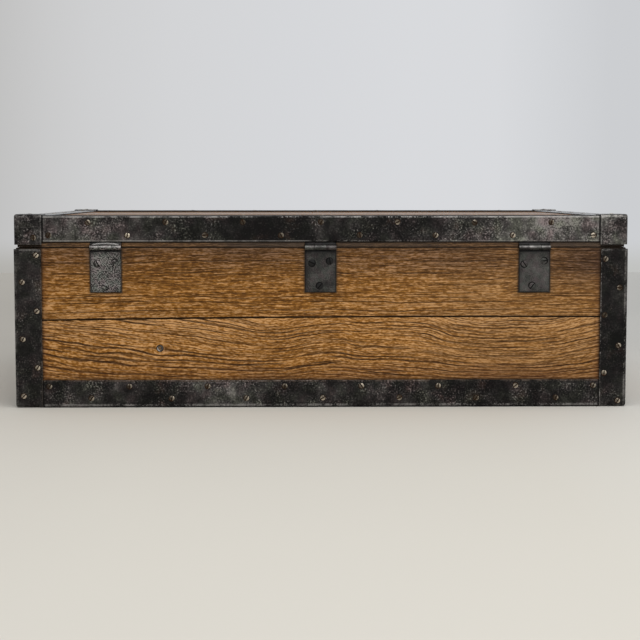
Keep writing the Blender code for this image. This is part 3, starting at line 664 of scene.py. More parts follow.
def iron_finish(name, look, rubbed, edged=0.3, path=None, gritty=1.5, gloss=0.50, dirt=(), lines=(), rims=(),
                top=None):
    """Blackened iron, rubbed to grey in places and gritty all over. Path says where along X it is rubbed
    more, and dirt how far from the middle of the chest, along X and Y, other irons meet it. Lines are bands
    between two heights, some of them within a span of X, and rims those between two distances from the
    middle, each with its share and colour: worn metal, dirt, painted highlight and painted shade. Top is the
    height of a waxed upper face."""
    finish = Finish(name)
    point, x, y, z = finish.place()
    y = y - CASE_CENTRE_Y
    cloud = finish.grain(point, 12.0)
    mottle = finish.grain(point, 80.0, 3.0, 0.6)
    grit = finish.grain(point, 470.0, 2.0, 0.65)
    tinge = finish.grain(point, 34.0)
    speck = grit.rise(0.56, 0.76)
    rough = (grit - 0.5 + speck * 0.16) * 0.92 * (0.45 + tinge.rise(0.38, 0.62) * 0.9)
    level = rubbed + ((cloud - 0.5) * 0.72 + (mottle - 0.5) * 0.66 + rough) * gritty
    if path:
        level = level + finish.curve(x / 0.76 + 0.5, path) - 0.5
    finish.shade = finish.ramp(level, iron_steps(look))
    finish.coat(tinge.rise(0.50, 0.70) * mottle.rise(0.45, 0.65) * 0.35, look.rust)
    finish.cast(point, 52.0, ((1.0, 0.86, 0.88), (1.0, 0.98, 0.97), (0.93, 0.98, 0.86)))
    edge = finish.mark("wear") * (mottle * 0.7 + grit * 0.3).rise(0.42, 0.64)
    finish.coat(edge * edged, look.silver_and_highlight)
    patchy = (mottle.rise(0.36, 0.60) * 0.5 + 0.5) * level.rise(0.04, 0.58)
    for low, high, share, hint, *span in lines:
        where = x.between(*span, 0.010) * (mottle.rise(0.30, 0.60) * 0.5 + 0.5) if span else patchy
        finish.coat(z.between(low, high, 0.0006) * where * share, hint)
    for axis, low, high, share, hint in rims:
        offset = -x if axis == "left" else abs(x if axis == "x" else y)
        finish.coat(offset.between(low, high, 0.0005) * patchy * share, hint)
    for offset, joint in zip((x, y), dirt):
        finish.coat(abs(abs(offset) - joint).rise(0.0026, 0.0014) * 0.88, look.black)
    return finish.surface(
        metallic=0.30 + edge * 0.4, roughness=gloss + (0.5 - level) * 0.16 - edge * 0.08,
        specular_ior_level=0.12, coat_weight=z.rise(top - 0.0010, top - 0.0003) * 0.9 if top else 0.0,
        coat_roughness=0.25, normal=finish.bump(mottle * 0.7 + speck * 0.2, 0.0006, 0.50))


def leaf_finish(name, look, leaf, tone, cloudy, gritty, axle, bright, round_tone=-0.12, arched_highlight=False):
    """Hinge iron: grey of some tone, cloudy and gritty, with a painted highlight along the barrel and painted
    shade and dirt beside and below it. Leaf is the lower leaf's outline; round_tone lightens the barrel, which
    may have a painted highlight in an arc above it."""
    middle, half, foot = leaf
    finish = Finish(name)
    point, x, _, z = finish.place()
    aside, above = abs(x - middle), z - axle
    cloud = finish.grain(point, 45.0)
    mottle = finish.grain(point, 170.0, 3.0, 0.6)
    grit = finish.grain(point, 700.0, 2.0, 0.6)
    level = tone + ((cloud - 0.5) * 0.75 + (mottle - 0.5) * 0.45) * cloudy + (grit - 0.5) * 1.45 * gritty
    barrel = abs(above).rise(0.0034, 0.0026)
    finish.shade = finish.ramp(level + barrel * round_tone, iron_steps(look))
    finish.cast(point, 120.0, ((1.0, 0.90, 0.93), (1.0, 0.99, 0.98), (0.92, 1.0, 0.95)))
    # Painted highlight along the top of the barrel.
    ridge_highlight = above.rise(-0.0006, 0.0010) * above.rise(0.0027, 0.0016)
    gleam = barrel * ridge_highlight * (0.35 + mottle.rise(0.35, 0.65) * 0.65)
    finish.coat(gleam * bright, look.silver_and_highlight)
    # Painted shade on the leaves' worn edges.
    finish.coat(finish.mark("wear") * 0.40, look.black)
    # Painted shade in the fold under the barrel and on the upper leaf above it, under the strap.
    crease = abs(above + 0.0041).rise(0.0020, 0.0006).most(above.rise(0.0026, 0.0036) * 0.80)
    finish.coat(crease * 0.92, look.black)
    # Painted shade on the lower leaf just below the barrel.
    under = above.rise(-0.0130, -0.0050) * above.rise(-0.0026, -0.0034)
    finish.coat(under * (0.30 + cloud.rise(0.40, 0.60) * 0.40), look.black)
    # Painted shade and dirt along the lower leaf's sides and foot.
    rim = aside.rise(half - 0.0015, half - 0.0007).most(z.rise(foot + 0.0014, foot + 0.0006))
    finish.coat(rim * above.rise(-0.0026, -0.0040) * 0.72, look.black)
    # A painted highlight in an arc above the barrel.
    if arched_highlight:
        painted_bow = abs(above - 0.0053 + ((x - middle) / 0.014) ** 2.0 * 0.0014).rise(0.0011, 0.0004)
        finish.coat(painted_bow * aside.rise(0.0172, 0.0150) * 0.60, look.silver_and_highlight)
    return finish.surface(
        metallic=0.55, roughness=0.46 + (0.6 - level) * 0.15 - barrel * 0.08,
        specular_ior_level=0.25, normal=finish.bump(mottle * 0.5 + grit * 0.4 * gritty, 0.0005, 0.5))


def brass_finish(name, look):
    """Screw brass, from rubbed to nearly black, by each head's own share of tarnish."""
    finish = Finish(name)
    cloud = finish.grain(finish.place()[0], 480.0, 1.0)
    share = (finish.mark("tarnish") + (cloud - 0.5) * 0.6).rise(0.0, 0.85)
    finish.shade = finish.blend(share, look.brass, look.tarnish)
    return finish.surface(
        metallic=0.9, roughness=0.34 + share * 0.22, normal=finish.bump(cloud, 0.0003, 0.5))


def grime_and_shade_finish(name, dark, pale, by_tarnish=False):
    """Dirt and painted shade round a screw head and in its slot, of two colours mixed by chance or by the
    head's tarnish.
    """
    finish = Finish(name)
    cloud = finish.grain(finish.place()[0], 420.0)
    share = cloud.rise(0.35, 0.7)
    if by_tarnish:
        share = (finish.mark("tarnish") + (cloud - 0.5) * 0.5).rise(0.55, 0.05)
    finish.shade = finish.blend(share, dark, pale)
    return finish.surface(
        roughness=0.85, specular_ior_level=0.1, normal=finish.bump(cloud, 0.0003, 0.6))


def steel_finish(name, look, tone=0.45, rubbed=0.0):
    """Dull steel of pins, nail, lock and hinge screws. Rubbed is the share of bright metal where the wear mark
    lies, which on the nail is a painted highlight.
    """
    finish = Finish(name)
    cloud = finish.grain(finish.place()[0], 240.0, 3.0, 0.6)
    finish.shade = finish.ramp(tone + (cloud - 0.5) * 0.9, iron_steps(look))
    if rubbed:
        finish.coat(finish.mark("wear") * rubbed, look.silver_and_highlight)
    return finish.surface(
        metallic=0.6, roughness=0.42 + cloud * 0.15,
        normal=finish.bump(cloud, 0.0004, 0.5))


def add_screw(shape, at, out, turn, radius, look, dull, lopsided):
    """Adds a slotted countersunk head: two domed halves, the slot's floor and walls, and a ring round it; slot
    and ring are dark with dirt and painted shade. Lopsided says how much more one side of it is tarnished than
    the other."""
    layers = shape.verts.layers.float
    tarnish = layers.get("tarnish") or layers.new("tarnish")
    lean = out.to_track_quat("Z", "X").to_matrix().to_4x4()
    stand = Matrix.Translation(at) @ lean @ Matrix.Rotation(turn, 4, "Z")
    half, sink = look.slot / 2, -look.depth
    rubbed = turn * 1.7 + 0.6

    def dome(px, py):
        share = min(1.0, math.hypot(px, py) / radius)
        return look.proud * (1.0 - share ** 2.4) + 0.00012

    def put(px, py, pz):
        made = shape.verts.new(stand @ Vector((px, py, pz)))
        dirty_side = (px * math.cos(rubbed) + py * math.sin(rubbed)) / radius
        made[tarnish] = dull + lopsided * dirty_side + 0.16 - 0.22 * (px * px + py * py) / radius ** 2
        return made

    def face(points, finish):
        shape.faces.new(points).material_index = finish

    def strip(first, second, finish):
        for index in range(len(first) - 1):
            face((first[index], first[index + 1], second[index + 1], second[index]), finish)

    start = math.asin(half / radius)
    angles = [start + (math.pi - 2 * start) * index / DOME_SIDES for index in range(DOME_SIDES + 1)]
    rim = [(math.cos(angle) * radius, math.sin(angle) * radius) for angle in angles]
    for way in (1.0, -1.0):
        rows = []
        for share in (1.0, 0.93, 0.72, 0.42, 0.0):
            row = []
            for px, py in rim:
                qx, qy = px * (0.30 + 0.70 * share), half + (py - half) * share
                row.append(put(qx * way, qy * way, dome(qx, qy) - (0.00022 if share == 1.0 else 0.0)))
            rows.append(row)
        foot = [put(px * 0.72 * way, (half + (py - half) * 0.72) * way, sink) for px, py in rim]
        for first, second in zip(rows, rows[1:]):
            strip(first, second, 0)
        strip(foot, rows[0], 0)
        wall = [row[0] for row in rows] + [row[-1] for row in reversed(rows)]
        face([*reversed(wall), foot[0], foot[-1]], 0)
        face(foot[::-1], 0)
    long, wide = radius * 0.97, half * 1.2
    corners = ((-long, -wide), (long, -wide), (long, wide), (-long, wide))
    # The slot's floor and walls take dirt and painted shade.
    floor = [put(px, py, SLOT_FLOOR) for px, py in corners]
    under = [put(px, py, sink - 0.0001) for px, py in corners]
    face(floor, 1)
    face(under[::-1], 1)
    strip(under + under[:1], floor + floor[:1], 1)
    # A ring of dirt and painted shade round the head.
    rings = []
    for spread, height in ((0.0, -0.0004), (0.0, 0.00006), (0.5, 0.00014), (1.0, 0.00006), (1.0, -0.0004)):
        ring = []
        for angle in (2 * math.pi * index / RING_SIDES for index in range(RING_SIDES)):
            reach = radius * (0.98 + spread * (0.20 + 0.17 * math.cos(angle - rubbed)))
            ring.append(put(math.cos(angle) * reach, math.sin(angle) * reach, height))
        rings.append(ring)
    for first, second in zip(rings, rings[1:] + rings[:1]):
        for index in range(RING_SIDES):
            after = (index + 1) % RING_SIDES
            face((first[index], second[index], second[after], first[after]), 1)


def screw_set(name, body, spots, radius, look, finishes, lopsided=0.24):
    """One piece for the screws of one iron. A spot is a point, the way it faces and, where known, its share
    of tarnish and the turn of its slot."""
    shape = bmesh.new()
    dice = random.Random(name)
    for at, out, *known in spots:
        dull, turn = known or (dice.uniform(*TARNISH), dice.uniform(0.0, 180.0))
        add_screw(shape, Vector(at), out, math.radians(turn), radius, look, dull, lopsided)
    bmesh.ops.recalc_face_normals(shape, faces=shape.faces[:])
    piece_from(shape, name, body, finishes, smooth=35.0)


class CHEST_OT_lay_boards(bpy.types.Operator):
    """Lays the oak boards of the walls, floor and lid"""

    bl_idname = "chest.lay_boards"
    bl_label = "Lay oak boards"

    def execute(self, context):
        look = context.scene.chest_oak
        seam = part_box("back_upper_plank")[0].z
        finishes = self.finishes(look, seam)
        boards = []
        for side in SIDES:
            along, wall, rail = ("y", "end", "rim_end") if side in ENDS else ("x", side, "rim")
            for row in ("lower", "upper"):
                boards.append((f"{side}_{row}_plank", f"back_{row}" if side == "back" else wall, along))
            boards.append((f"lid_{side}_rail", rail, along))
        for part in ("lid", "floor"):
            boards += [(f"{part}_board_{place}", part, "x") for place in (1, 2, 3)]
        for place, (node, finish, along) in enumerate(boards):
            shape = solid_of(node, look.ease * (0.4 if "rail" in node else 1.0), profile=0.55)
            slice_up(shape, (BOARD_CELL, 0.0, 0.0) if along == "x" else (0.0, BOARD_CELL, 0.0))
            self.roughen(shape, node, along, seam)
            mark_all(shape, "board", place * 1.37)
            piece_from(shape, f"{node}_oak", body_of(node), [finishes[finish]], [node])
        return {"FINISHED"}

    def finishes(self, look, seam):
        """The oak of each kind of board."""
        half_x, half_y = offsets("corner_iron_back_right", 0)
        low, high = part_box("base_iron_back")[1].z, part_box("back_upper_plank")[1].z
        wall_x, wall_y = offsets("right_lower_plank", 1)[0], offsets("back_lower_plank", 1)[1]
        rail_x, rail_y = offsets("lid_right_rail", 1)[0], offsets("lid_back_rail", 1)[1]
        cap_x, cap_y = offsets("lid_cap_back_right", 0)
        strap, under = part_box("lid_iron_back")[0].z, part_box("lid_back_rail")[0].z
        front = {"window": (half_x, low, high, wall_y), "seam": seam}
        back = {**front, "slope": self.slope, "faded": 0.25}
        return {
            "back_lower": oak_finish(
                "oak_back_lower", "x", look, 0.92, 0.0042, 0.085, 1.0, lower_back_flow, splits=SPLITS,
                stain_and_shade_spots=[(NAIL[0] - 0.0065, NAIL[1], 0.0085, 0.0034, 1.0)], lift=0.18, **back),
            "back_upper": oak_finish(
                "oak_back_upper", "x", look, 0.80, 0.0034, 0.060, 0.7, lift=0.03,
                # Dark spots near the board's top: painted shade and dirt under the lid's edge.
                stain_and_shade_spots=[(-0.322, 0.185, 0.045, 0.036, 1.0), (0.118, 0.193, 0.085, 0.012, 0.55)],
                plates=[leaf_outline(hinge) for hinge in HINGES], **back),
            "front": oak_finish("oak_front", "x", look, 0.86, 0.0038, 0.070, lift=0.10, **front),
            "end": oak_finish(
                "oak_ends", "y", look, 0.86, 0.0038, 0.070, window=(half_y, low, high, wall_x), seam=seam,
                lift=0.10),
            "lid": oak_finish(
                "oak_lid", "x", look, 0.74, 0.0040, 0.080, lift=-0.16, gloss=0.46, wax=(0.62, 0.04, 0.15)),
            "rim": oak_finish(
                "oak_lid_rim", "x", look, 0.66, 0.0036, 0.050, rim=(strap, under, cap_x, rail_y)),
            "rim_end": oak_finish(
                "oak_lid_rim_ends", "y", look, 0.66, 0.0036, 0.050, rim=(strap, under, cap_y, rail_x)),
            "floor": oak_finish("oak_floor", "x", look, 0.60, 0.0042, bare=True),
        }

    def slope(self, run):
        """How far the joint between the back boards lies above the level, along their length."""
        share = (0.355 - run) / 0.71
        return share * 0.00375 - (share * 2.0 - 1.0) ** 2.0 * 0.0018 + 0.00035

    def roughen(self, shape, node, along, seam):
        """Lets the boards' long edges run a little uneven, away from their neighbours."""
        axis = 0 if along == "x" else 1
        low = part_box(node)[0].z
        for point in shape.verts:
            ripple = 0.5 + 0.5 * noise.noise(Vector((point.co[axis] * 46.0, len(node) * 1.3, 0.0)))
            chip = max(0.0, noise.noise(Vector((point.co[axis] * 150.0, len(node) * 0.7, 3.0))) - 0.35)
            push = ripple * 0.0004 + chip * 0.0010
            if node.startswith("back_") and abs(point.co.z - seam) < 0.009:
                point.co.z += self.slope(point.co.x)
            if "lower" in node and 0.0 < seam - point.co.z < 0.0035:
                point.co.z -= push
            elif "upper" in node and point.co.z - low < 0.0015:
                point.co.z += push * 0.5


def band(edge, start, end, share, hint, *span):
    """A band of colour from start to end beside an edge, perhaps within a span."""
    return edge + start, edge + end, share, hint, *span


def both_ways(edges, *values):
    """The same band beside an edge across X and beside one across Y."""
    return [(axis, *band(edge, *values)) for axis, edge in zip("xy", edges)]


class CHEST_OT_fit_irons(bpy.types.Operator):
    """Fits the corner, base and lid irons and the lid's corner caps"""

    bl_idname = "chest.fit_irons"
    bl_label = "Fit irons"

    def execute(self, context):
        look = context.scene.chest_iron
        finishes = self.finishes(look)
        irons = [(f"base_iron_{side}", "base") for side in SIDES]
        irons += [(f"lid_iron_{side}", "lid_end" if side in ENDS else "lid") for side in SIDES]
        for deep, end in CORNERS:
            irons.append((f"corner_iron_{deep}_{end}", "corner"))
            irons.append((f"lid_cap_{deep}_{end}", "cap" if deep == "back" else "cap_front"))
        for node, finish in irons:
            shape = solid_of(node, look.ease)
            slice_up(shape, (IRON_CELL, IRON_CELL, IRON_CELL), IRON_RIM)
            if "cap" in finish or finish == "corner":
                self.round_off(shape, node, "cap" in finish)
            stray(shape, look.wander)
            worn_piece(shape, node, finishes[finish])
        return {"FINISHED"}

    def finishes(self, look):
        """The iron of each kind of strap and cap."""
        black, grey, silver_and_highlight = look.black, look.grey, look.silver_and_highlight
        cap, corner = offsets("lid_cap_back_right", 0), offsets("corner_iron_back_right", 0)
        outer = offsets("corner_iron_back_right", 1)
        lid_foot, lid_top = (edge.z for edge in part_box("lid_iron_back"))
        base_top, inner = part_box("base_iron_back")[1].z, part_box("lid_iron_right")[0].x
        cap_top, corner_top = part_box("lid_cap_back_right")[1].z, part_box("corner_iron_back_right")[1].z
        corner_rims = both_ways(corner, 0.0, 0.0011, 0.30, look.tan)
        corner_rims += both_ways(outer, -0.0034, -0.0012, 0.16, grey)
        corner_rims.append(("left", *band(corner[0], 0.0003, 0.0011, 0.75, grey)))
        corner_rims.append(("left", *band(outer[0], -0.0040, -0.0026, 0.55, grey)))
        cap_rims = both_ways(cap, 0.0002, 0.0014, 0.34, grey)
        lid_rims = both_ways(cap, -0.0038, -0.0027, 0.22, grey)
        # Painted shade on the inner face of each end iron's top flange.
        inner_face_shade = ("x", *band(inner, -0.0006, 0.0006, 1.2, black))
        base_lines = [
            band(base_top, -0.0018, -0.0003, 0.45, look.tan), band(0.0, 0.0022, 0.0042, 0.55, grey),
            band(0.0, -0.0010, 0.0014, 0.80, black)]
        # Light bands below the top and at the foot, worn metal and painted highlight, and a dark band over the
        # top edge.
        lid_lines = [
            band(lid_top, -0.0021, -0.0013, 0.82, silver_and_highlight), band(lid_top, -0.0009, 0.0010, 0.90, black),
            band(lid_foot, 0.0001, 0.0013, 0.22, silver_and_highlight),
            band(lid_foot, 0.0001, 0.0013, 0.32, silver_and_highlight, 0.02, 0.40)]
        # On the caps: a light band below the top, worn metal and painted highlight, and a dark band over the
        # top edge.
        cap_lines = [
            band(cap_top, -0.0034, -0.0019, 0.34, silver_and_highlight), band(cap_top, -0.0010, 0.0010, 0.60, black)]
        return {
            "corner": iron_finish(
                "iron_corners", look, 0.335, 0.24, RUBBED["corner"], 1.45,
                lines=[band(corner_top, -0.0020, -0.0006, 0.36, grey)], rims=corner_rims),
            "base": iron_finish(
                "iron_base", look, 0.36, 0.10, RUBBED["base"], 1.9, dirt=corner, lines=base_lines),
            "lid": iron_finish(
                "iron_lid", look, 0.50, 0.12, RUBBED["lid"], 1.6, 0.42, cap, lid_lines, lid_rims),
            "lid_end": iron_finish(
                "iron_lid_ends", look, 0.50, 0.12, None, 1.6, 0.42, cap, lid_lines, [*lid_rims, inner_face_shade],
                lid_top),
            "cap": iron_finish(
                "iron_caps", look, 0.44, 0.24, RUBBED["cap"], 1.6, 0.42, lines=cap_lines, rims=cap_rims,
                top=cap_top),
            # The front caps carry a painted highlight over their top edge.
            "cap_front": iron_finish(
                "iron_caps_front", look, 0.50, 0.34, RUBBED["cap"], 1.6, 0.42,
                lines=[band(cap_top, -0.0034, 0.0010, 0.85, silver_and_highlight)], rims=cap_rims, top=cap_top),
        }

    def round_off(self, shape, node, upward):
        """Draws in the points near the three edges at a cap's top corner or a corner iron's foot."""
        ends = ("right" in node, "back" in node, upward)
        corner = [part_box(node)[far][axis] for axis, far in enumerate(ends)]
        way = [1 if far else -1 for far in ends]
        for point in shape.verts:
            inward = [(corner[axis] - point.co[axis]) * way[axis] for axis in range(3)]
            past = Vector([max(0.0, CORNER_RADIUS - depth) for depth in inward])
            if past.length > CORNER_RADIUS:
                past *= (past.length - CORNER_RADIUS) / past.length
                point.co -= Vector([past[axis] * way[axis] for axis in range(3)])


class CHEST_OT_hang_hinges(bpy.types.Operator):
    """Hangs the three hinges with their pins and screws"""

    bl_idname = "chest.hang_hinges"
    bl_label = "Hang hinges"

    def execute(self, context):
        look, screws = context.scene.chest_iron, context.scene.chest_screws
        steel, black = steel_finish("steel_dull", look, 0.42), steel_finish("steel_black", look, 0.10)
        dark = grime_and_shade_finish("grime_round_dark_screws", look.black, look.black)
        patchy = grime_and_shade_finish("grime_round_grey_screws", look.black, iron_steps(look)[2][1], True)
        axle = centre_of("hinge_pin_centre", 2)
        right, centre, left = (leaf_outline(hinge) for hinge in ("right", "centre", "left"))
        finishes = {
            "right": leaf_finish("hinge_iron_pitted", look, right, 0.82, 1.9, 4.4, axle, 0.75, arched_highlight=True),
            "centre": leaf_finish("hinge_iron_dark", look, centre, 0.51, 1.10, 0.55, axle, 0.16, 0.16),
            "left": leaf_finish("hinge_iron_grey", look, left, 0.64, 0.80, 0.36, axle, 0.62),
        }
        for hinge in HINGES:
            for leaf in ("lower", "upper"):
                node = f"hinge_{leaf}_leaf_{hinge}"
                shape = solid_of(node, LEAF_EDGE, *FINE_EDGE)
                slice_up(shape, (LEAF_CELL, 0.0, LEAF_CELL))
                stray(shape, look.wander * 0.6)
                worn_piece(shape, node, finishes[hinge])
            pin = f"hinge_pin_{hinge}"
            worn_piece(solid_of(pin, PIN_EDGE, 2, 0.5), pin, steel, "steel")
            middle, _, foot = leaf_outline(hinge)
            face = max(point.co.y for point in frame["nodes"][f"hinge_lower_leaf_{hinge}"].data.vertices
                       if point.co.z < foot + 0.03)
            spots = [((middle + across, face, foot + above), unit(1), *known)
                     for across, above, *known in HINGE_SCREWS[hinge]]
            heads = [black, dark] if hinge == "centre" else [finishes[hinge], patchy]
            screw_set(f"hinge_screws_{hinge}", "case", spots, screws.hinge_head, screws, heads, 0.50)
        return {"FINISHED"}


class CHEST_OT_drive_screws(bpy.types.Operator):
    """Drives the brass screws through the irons and the nail into the lower board"""

    bl_idname = "chest.drive_screws"
    bl_label = "Drive brass screws"

    def execute(self, context):
        look, oak = context.scene.chest_screws, context.scene.chest_oak
        grime_and_shade = grime_and_shade_finish("grime_and_shade_round_brass", oak.grime_and_shade, oak.pore)
        heads = [brass_finish("brass_screw_heads", look), grime_and_shade]
        places = [(f"{part}_iron_{side}", self.strap_spots(part, side))
                  for part in SCREW_ROWS for side in SIDES]
        for deep, end in CORNERS:
            places.append((f"corner_iron_{deep}_{end}", self.corner_spots(deep, end)))
            places.append((f"lid_cap_{deep}_{end}", self.cap_spots(deep, end)))
        for node, spots in places:
            screw_set(f"screws_{node}", body_of(node), spots, look.head, look, heads)
        self.drive_nail(context.scene.chest_iron, oak, grime_and_shade)
        return {"FINISHED"}

    def strap_spots(self, part, side):
        """Screws of a base or lid iron: two rows on its face and, on the lid, one on top."""
        node = f"{part}_iron_{side}"
        out, face = facing(node, side)
        top, (upper, lower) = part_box(node)[1].z, SCREW_ROWS[part]
        if side in ENDS:
            rows = ((LONG_ROW, upper), (SHORT_ROW, lower))
            if part == "lid":
                rows = ((SHORT_ROW, upper), (LONG_ROW, lower))
            spots = [((face, CASE_CENTRE_Y + y / MILLIMETRES, z), out) for row, z in rows for y in row]
            above = [(face - out.x * TOP_INSET, CASE_CENTRE_Y + y / MILLIMETRES, top) for y in SHORT_ROW]
        else:
            spots = [((out.y * x / MILLIMETRES, face, z), out, *known)
                     for row, z in (("upper", upper), ("lower", lower))
                     for x, *known in IRON_SCREWS[f"{part}_{row}"]]
            above = [(x / MILLIMETRES, face - out.y * TOP_INSET, top) for x in TOP_ROW]
        return spots + [(at, unit(2)) for at in above] if part == "lid" else spots

    def corner_spots(self, deep, end):
        """Screws of a corner iron: a column on its back or front, and one a little lower on its end."""
        node = f"corner_iron_{deep}_{end}"
        (out_y, face_y), (out_x, face_x) = facing(node, deep), facing(node, end)
        spots = [((out_x.x * x / MILLIMETRES, face_y, z / MILLIMETRES), out_y, *known)
                 for z, x, *known in CORNER_SCREWS[end]]
        for z, x, *_ in CORNER_SCREWS[end]:
            height = z - 16.0 if z > 20 else z + 4.0
            inset = abs(face_x) - x / MILLIMETRES
            spots.append(((face_x, face_y - out_y.y * inset, height / MILLIMETRES), out_x))
        return spots

    def cap_spots(self, deep, end):
        """Screws of a lid cap: one on its end, one on top and, but for the back left cap, one on its face."""
        node = f"lid_cap_{deep}_{end}"
        (out_y, face_y), (out_x, face_x) = facing(node, deep), facing(node, end)
        inset_x, inset_y = face_x - out_x.x * CAP_INSET, face_y - out_y.y * CAP_INSET
        spots = [((face_x, inset_y, CAP_END_HEIGHT), out_x), ((inset_x, inset_y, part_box(node)[1].z), unit(2))]
        if (deep, end) != ("back", "left"):
            spots.append(((out_x.x * CAP_SCREW, face_y, CAP_HEIGHT), out_y))
        return spots

    def drive_nail(self, iron, oak, grime_and_shade):
        """An old nail in the lower back board: a tilted, dished head with a painted highlight on one side, in a
        dent dark with dirt and painted shade.
        """
        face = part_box("back_lower_plank")[1].y
        stand = Matrix.Translation((NAIL[0], face, NAIL[1])) @ Matrix.Rotation(math.radians(-90.0), 4, "X")
        lean = stand @ Matrix.Rotation(math.radians(9.0), 4, (0.6, 1.0, 0.0))
        head = ((0.0, 0.00040), (0.0017, 0.00040), (0.0023, 0.00080), (0.0032, 0.00080), (0.0039, 0.00020),
                (0.0030, -0.0022), (0.0, -0.0022))
        dent = ((0.0, 0.00004), (0.0040, 0.00006), (0.0044, 0.00010), (0.0048, -0.0001), (0.0046, -0.0010),
                (0.0, -0.0010))
        shape = bmesh.new()
        wear = shape.verts.layers.float.new("wear")
        angles = [2 * math.pi * index / NAIL_SIDES for index in range(NAIL_SIDES)]
        for place, profile, finish in ((lean, head, 0), (stand, dent, 1)):
            rings = []
            for reach, height in profile:
                ring = [(math.cos(angle) * reach, math.sin(angle) * reach, height) for angle in angles]
                rings.append([shape.verts.new(place @ Vector(at)) for at in (ring if reach else ring[:1])])
            for inside, (first, second) in enumerate(zip(rings, rings[1:])):
                for index in range(NAIL_SIDES):
                    after = (index + 1) % NAIL_SIDES
                    points = [first[index % len(first)], second[index % len(second)],
                              second[after % len(second)], first[after % len(first)]]
                    made = shape.faces.new(list(dict.fromkeys(points)))
                    made.material_index = 2 if finish == 0 and inside < 2 else finish
        # The wear mark on the head is a painted highlight on one side.
        for point in shape.verts:
            away = (point.co.x - NAIL[0]) * 0.80 - (point.co.z - NAIL[1]) * 0.60
            point[wear] = min(1.0, max(0.0, (away - 0.0012) / 0.0010))
        bmesh.ops.recalc_face_normals(shape, faces=shape.faces[:])
        steel = steel_finish("nail_steel", iron, 0.58, 0.95)
        dirt = grime_and_shade_finish("nail_dirt", oak.dust_and_shade, oak.inside)
        piece_from(shape, "nail_in_lower_board", "case", [steel, grime_and_shade, dirt])


class CHEST_OT_fit_lock(bpy.types.Operator):
    """Fits the box lock, its bolt, the hooked link plate and the keyhole's escutcheon"""

    bl_idname = "chest.fit_lock"
    bl_label = "Fit lock"

    def execute(self, context):
        look = context.scene.chest_iron
        dark, steel = iron_finish("lock_iron", look, 0.40), steel_finish("lock_steel", look)
        brass = brass_finish("escutcheon_brass", context.scene.chest_screws)
        for node, slot, finish, ease in (
                ("lock_case", "steel", dark, 0.0005), ("lock_cover", "steel", dark, 0.0004),
                ("lock_bolt", "brass", brass, 0.0004), ("lock_link_plate", "steel", steel, 0.0004),
                ("keyhole_escutcheon", "brass", brass, 0.0004)):
            shape = solid_of(node, ease, *FINE_EDGE)
            mark_all(shape, "tarnish", 0.45)
            worn_piece(shape, node, finish)
        return {"FINISHED"}


class CHEST_OT_fit_handles(bpy.types.Operator):
    """Fits the drop handles and their plates"""

    bl_idname = "chest.fit_handles"
    bl_label = "Fit handles"

    def execute(self, context):
        finish = iron_finish("handle_iron", context.scene.chest_iron, 0.38)
        for end in ENDS:
            for node in (f"handle_plate_{end}", f"handle_bail_{end}"):
                worn_piece(solid_of(node, HANDLE_EDGE, *FINE_EDGE), node, finish)
        return {"FINISHED"}


